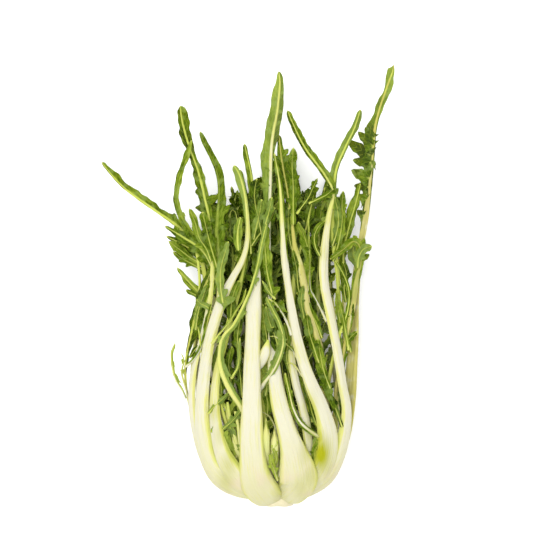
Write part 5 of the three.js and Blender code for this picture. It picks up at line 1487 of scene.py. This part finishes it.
class PuntarelleSettings(bpy.types.PropertyGroup):
    """Colours and sizes of the head that a user may want to change."""

    stalk_white: colour_property("Stalk white", "Flesh low on the stalks", (0.5417, 0.525, 0.3958))
    stalk_cream: colour_property("Stalk cream", "Flesh towards the stalks' edges", (0.525, 0.5167, 0.175))
    stalk_base: colour_property("Stalk base", "Flesh near the root", (0.502, 0.478, 0.235))
    stalk_blush: colour_property("Stalk blush", "Faint warm patches near the root", (0.55, 0.4583, 0.3333))
    # Colour of the yellow-green shade painted in the creases between the stalks near the root.
    stalk_crease_shade: colour_property("Stalk stain", "Yellow-green stains near the root", (0.3, 0.3083, 0.01))
    stalk_green: colour_property("Rib green", "Ribs and stalks high on the leaf", (0.45, 0.5, 0.09167))
    stalk_tan: colour_property("Tan patch", "Khaki patches on old stalks", (0.42, 0.385, 0.092))
    leaf_dark: colour_property("Leaf dark", "Darkest green of the blades", (0.01167, 0.02833, 0.0001667))
    leaf_green: colour_property("Leaf green", "Middle green of the blades", (0.0842, 0.1475, 0.0017))
    leaf_bright: colour_property("Leaf bright", "Brightest green of the blades", (0.3333, 0.4167, 0.046))
    # Leaf back also gives the colour of the painted bluish-grey highlight patches on the blades.
    leaf_back: colour_property("Leaf back", "Greyish green on the blades' backs", (0.225, 0.3083, 0.072))
    shoot_colour: colour_property("Shoot", "Young shoots of the heart", (0.5167, 0.55, 0.2))
    root_cream: colour_property("Root", "Skin of the root stump", (0.5667, 0.5167, 0.35))
    root_fibre: colour_property("Root fibre", "Darker fibres in the root's skin", (0.52, 0.475, 0.3))
    root_ring: colour_property("Cut ring", "Rings on the root's cut face", (0.42, 0.28, 0.12))
    root_brown: colour_property("Cut face", "Browned edge of the cut", (0.1667, 0.08333, 0.03333))
    floor_colour: colour_property("Floor", "Table top under the head", (0.98, 0.98, 0.98))
    key_strength: FloatProperty(
        name="Key light", description="Strength of the soft key light", default=2.64, min=0
    )
    fill_strength: FloatProperty(
        name="Fill light", description="Brightness of the room", default=1.02, min=0
    )
    camera_height: FloatProperty(
        name="Camera height", description="Height of the camera above the head", default=2.4, min=1,
        subtype="DISTANCE", unit="LENGTH",
    )


def make_leaves(context, table, slots, base_look=None, *, first_seed):
    """Every leaf of a table, shaped and coloured by its look, with the heart-shoot material where its slot is
    pale_shoot and the leaf material otherwise.
    """
    settings = context.scene.puntarelle
    for number, (name, own) in enumerate(table.items()):
        look = {**LOOK, **(base_look or {}), **own}
        slot = slots.get(name, slots[""])
        shoot = slot == "pale_shoot"
        finish = "heart_shoot" if shoot else "leaf"
        material = bpy.data.materials.get(finish) or leaf_material(finish, settings, shoot)
        make_leaf(name, look, first_seed + number, material)


# Leaves listed with the white_stalk slot; they take the same leaf material as the green leaves.
WHITE = {name: "white_stalk" for name in (
    "front_cut_leaf", "front_centre_leaf", "front_long_leaf", "right_hooked_leaf", "right_outer_leaf",
    "right_tan_leaf", "right_inner_leaf", "left_white_leaf", "left_slim_leaf", "left_tall_leaf",
)}


# ---- operators ------------------------------------------------------------------------------
class PUNTARELLE_OT_front_leaves(bpy.types.Operator):
    """Makes the leaves that lie on top of the head"""

    bl_idname = "puntarelle.front_leaves"
    bl_label = "Front leaves"

    def execute(self, context):
        make_leaves(context, FRONT_LEAVES, {"": "green_leaf", **WHITE}, first_seed=100)
        return {"FINISHED"}


class PUNTARELLE_OT_right_leaves(bpy.types.Operator):
    """Makes the leaves on the right side of the head"""

    bl_idname = "puntarelle.right_leaves"
    bl_label = "Right leaves"

    def execute(self, context):
        make_leaves(context, RIGHT_LEAVES, {"": "green_leaf", **WHITE}, first_seed=200)
        return {"FINISHED"}


class PUNTARELLE_OT_left_leaves(bpy.types.Operator):
    """Makes the leaves on the left side of the head"""

    bl_idname = "puntarelle.left_leaves"
    bl_label = "Left leaves"

    def execute(self, context):
        make_leaves(context, LEFT_LEAVES, {"": "green_leaf", **WHITE}, first_seed=300)
        return {"FINISHED"}


class PUNTARELLE_OT_under_leaves(bpy.types.Operator):
    """Makes the leaves on which the head rests"""

    bl_idname = "puntarelle.under_leaves"
    bl_label = "Underside leaves"

    def execute(self, context):
        make_leaves(context, UNDER_LEAVES, {"": "white_stalk"}, UNDER_LOOK, first_seed=400)
        return {"FINISHED"}


class PUNTARELLE_OT_middle_leaves(bpy.types.Operator):
    """Makes the leaves between the outer leaves and the heart"""

    bl_idname = "puntarelle.middle_leaves"
    bl_label = "Middle leaves"

    def execute(self, context):
        make_leaves(context, MIDDLE_LEAVES, {"": "green_leaf"}, MIDDLE_LOOK, first_seed=500)
        return {"FINISHED"}


class PUNTARELLE_OT_heart_shoots(bpy.types.Operator):
    """Makes the young shoots in the heart of the head"""

    bl_idname = "puntarelle.heart_shoots"
    bl_label = "Heart shoots"

    def execute(self, context):
        make_leaves(context, HEART_SHOOTS, {"": "pale_shoot"}, SHOOT_LOOK, first_seed=600)
        return {"FINISHED"}


class PUNTARELLE_OT_root_stump(bpy.types.Operator):
    """Makes the root stump with its cut face"""

    bl_idname = "puntarelle.root_stump"
    bl_label = "Root stump"

    def execute(self, context):
        """A profile turned round the head's length, its radius uneven as a sum of slow waves."""
        low, high = (np.array(corner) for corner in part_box("root_stump"))
        centre_x, centre_z = (low[0] + high[0]) / 2, (low[2] + high[2]) / 2
        profile = np.array([
            (0.02, 1.6), (2.5, 1.5), (5, 1.1), (7.5, 0.8), (9.5, 0.5), (11.5, 0.1), (12.6, 0.2), (13.4, 1.2),
            (13.8, 3), (14, 6), (14.4, 9), (16, 13), (17, 16), (16.6, 20), (15, 25), (12, 28.5), (8, 31),
            (4, 32.5), (0.02, 33),
        ])
        angle = np.linspace(0, 2 * np.pi, 72, endpoint=False)
        radius = profile[:, :1] * (
            1 + 0.03 * np.sin(3 * angle + 1) + 0.02 * np.sin(7 * angle) + 0.012 * np.sin(17 * angle)
        )
        depth = profile[:, 1:] + 0.25 * np.sin(5 * angle) * np.minimum(profile[:, :1] / 8, 1)
        points = np.stack([
            centre_x + radius * MM * np.cos(angle),
            low[1] + depth * MM,
            centre_z + 0.86 * radius * MM * np.sin(angle),
        ], axis=-1)
        rows, columns = points.shape[:2]
        faces = ring_faces(1, rows, columns, 0)
        mesh = bpy.data.meshes.new("root_stump")
        mesh.from_pydata(points.reshape(-1, 3).tolist(), [], faces[:, ::-1].tolist())
        mesh.polygons.foreach_set("use_smooth", np.ones(len(faces), bool))
        cut = np.broadcast_to((np.arange(rows) < 6)[:, None], (rows, columns))
        ring = np.broadcast_to(np.minimum(profile[:, :1] / 13, 1), (rows, columns))
        for key, values in (("cut", cut), ("ring", ring)):
            attribute = mesh.attributes.new(key, "FLOAT", "POINT")
            attribute.data.foreach_set("value", values.astype(np.float32).reshape(-1))
        mesh.materials.append(root_material(context.scene.puntarelle))
        mesh.update()
        place_piece("root_stump", mesh)
        return {"FINISHED"}


class PUNTARELLE_OT_stage(bpy.types.Operator):
    """Makes the floor, the soft light and the camera that looks down on the head"""

    bl_idname = "puntarelle.stage"
    bl_label = "Floor, light and camera"

    def execute(self, context):
        settings = context.scene.puntarelle
        mesh = bpy.data.meshes.new("floor")
        corners = [(x * FLOOR_REACH, y * FLOOR_REACH, 0) for x, y in ((-1, -1), (1, -1), (1, 1), (-1, 1))]
        mesh.from_pydata(corners, [], [(0, 1, 2, 3)])
        n = Nodes("floor")
        shader = n.add("ShaderNodeBsdfPrincipled", {
            "Base Color": (*settings.floor_colour, 1), "Roughness": 0.9, "Specular IOR Level": 0.1,
        })
        n.add("ShaderNodeOutputMaterial", {0: shader.outputs[0]})
        mesh.materials.append(n.material)
        floor = bpy.data.objects.new("floor", mesh)
        context.scene.collection.objects.link(floor)
        world = bpy.data.worlds.new("studio")
        world.use_nodes = True
        background = world.node_tree.nodes["Background"]
        background.inputs[0].default_value = (1, 1, 1, 1)
        background.inputs[1].default_value = settings.fill_strength
        context.scene.world = world
        lamp = bpy.data.lights.new("key", "SUN")
        lamp.energy = settings.key_strength
        lamp.angle = math.radians(30)
        key = bpy.data.objects.new("key", lamp)
        key.rotation_euler = (math.radians(-5), math.radians(-7), 0)
        context.scene.collection.objects.link(key)
        lens = bpy.data.cameras.new("camera")
        lens.sensor_width = SENSOR
        lens.lens = SENSOR * settings.camera_height / VIEW_WIDTH
        lens.clip_end = CLIP_END
        camera = bpy.data.objects.new("camera", lens)
        camera.location = (*VIEW_CENTRE, HEAD_MIDDLE + settings.camera_height)
        context.scene.collection.objects.link(camera)
        context.scene.camera = camera
        context.scene.view_settings.view_transform = "Standard"
        return {"FINISHED"}


OPERATORS = (
    PUNTARELLE_OT_root_stump, PUNTARELLE_OT_heart_shoots, PUNTARELLE_OT_middle_leaves,
    PUNTARELLE_OT_under_leaves, PUNTARELLE_OT_left_leaves, PUNTARELLE_OT_right_leaves,
    PUNTARELLE_OT_front_leaves, PUNTARELLE_OT_stage,
)


class PUNTARELLE_PT_head(bpy.types.Panel):
    """Lists the head's settings and its pieces"""

    bl_label = "Puntarelle head"
    bl_idname = "PUNTARELLE_PT_head"
    bl_space_type = "VIEW_3D"
    bl_region_type = "UI"
    bl_category = "Puntarelle"

    def draw(self, context):
        settings = context.scene.puntarelle
        for name in settings.bl_rna.properties.keys():
            if name not in ("rna_type", "name"):
                self.layout.prop(settings, name)
        for operator in OPERATORS:
            self.layout.operator(operator.bl_idname)


CLASSES = (PuntarelleSettings, *OPERATORS, PUNTARELLE_PT_head)


def register():
    """Makes the classes and the head's settings known to Blender."""
    for item in CLASSES:
        bpy.utils.register_class(item)
    bpy.types.Scene.puntarelle = PointerProperty(type=PuntarelleSettings)


def unregister():
    """Takes away what register made."""
    del bpy.types.Scene.puntarelle
    for item in reversed(CLASSES):
        bpy.utils.unregister_class(item)


def main():
    register()
    bpy.ops.puntarelle.root_stump()
    bpy.ops.puntarelle.heart_shoots()
    bpy.ops.puntarelle.middle_leaves()
    bpy.ops.puntarelle.under_leaves()
    bpy.ops.puntarelle.left_leaves()
    bpy.ops.puntarelle.right_leaves()
    bpy.ops.puntarelle.front_leaves()
    bpy.ops.puntarelle.stage()


if __name__ == "__main__":
    main()
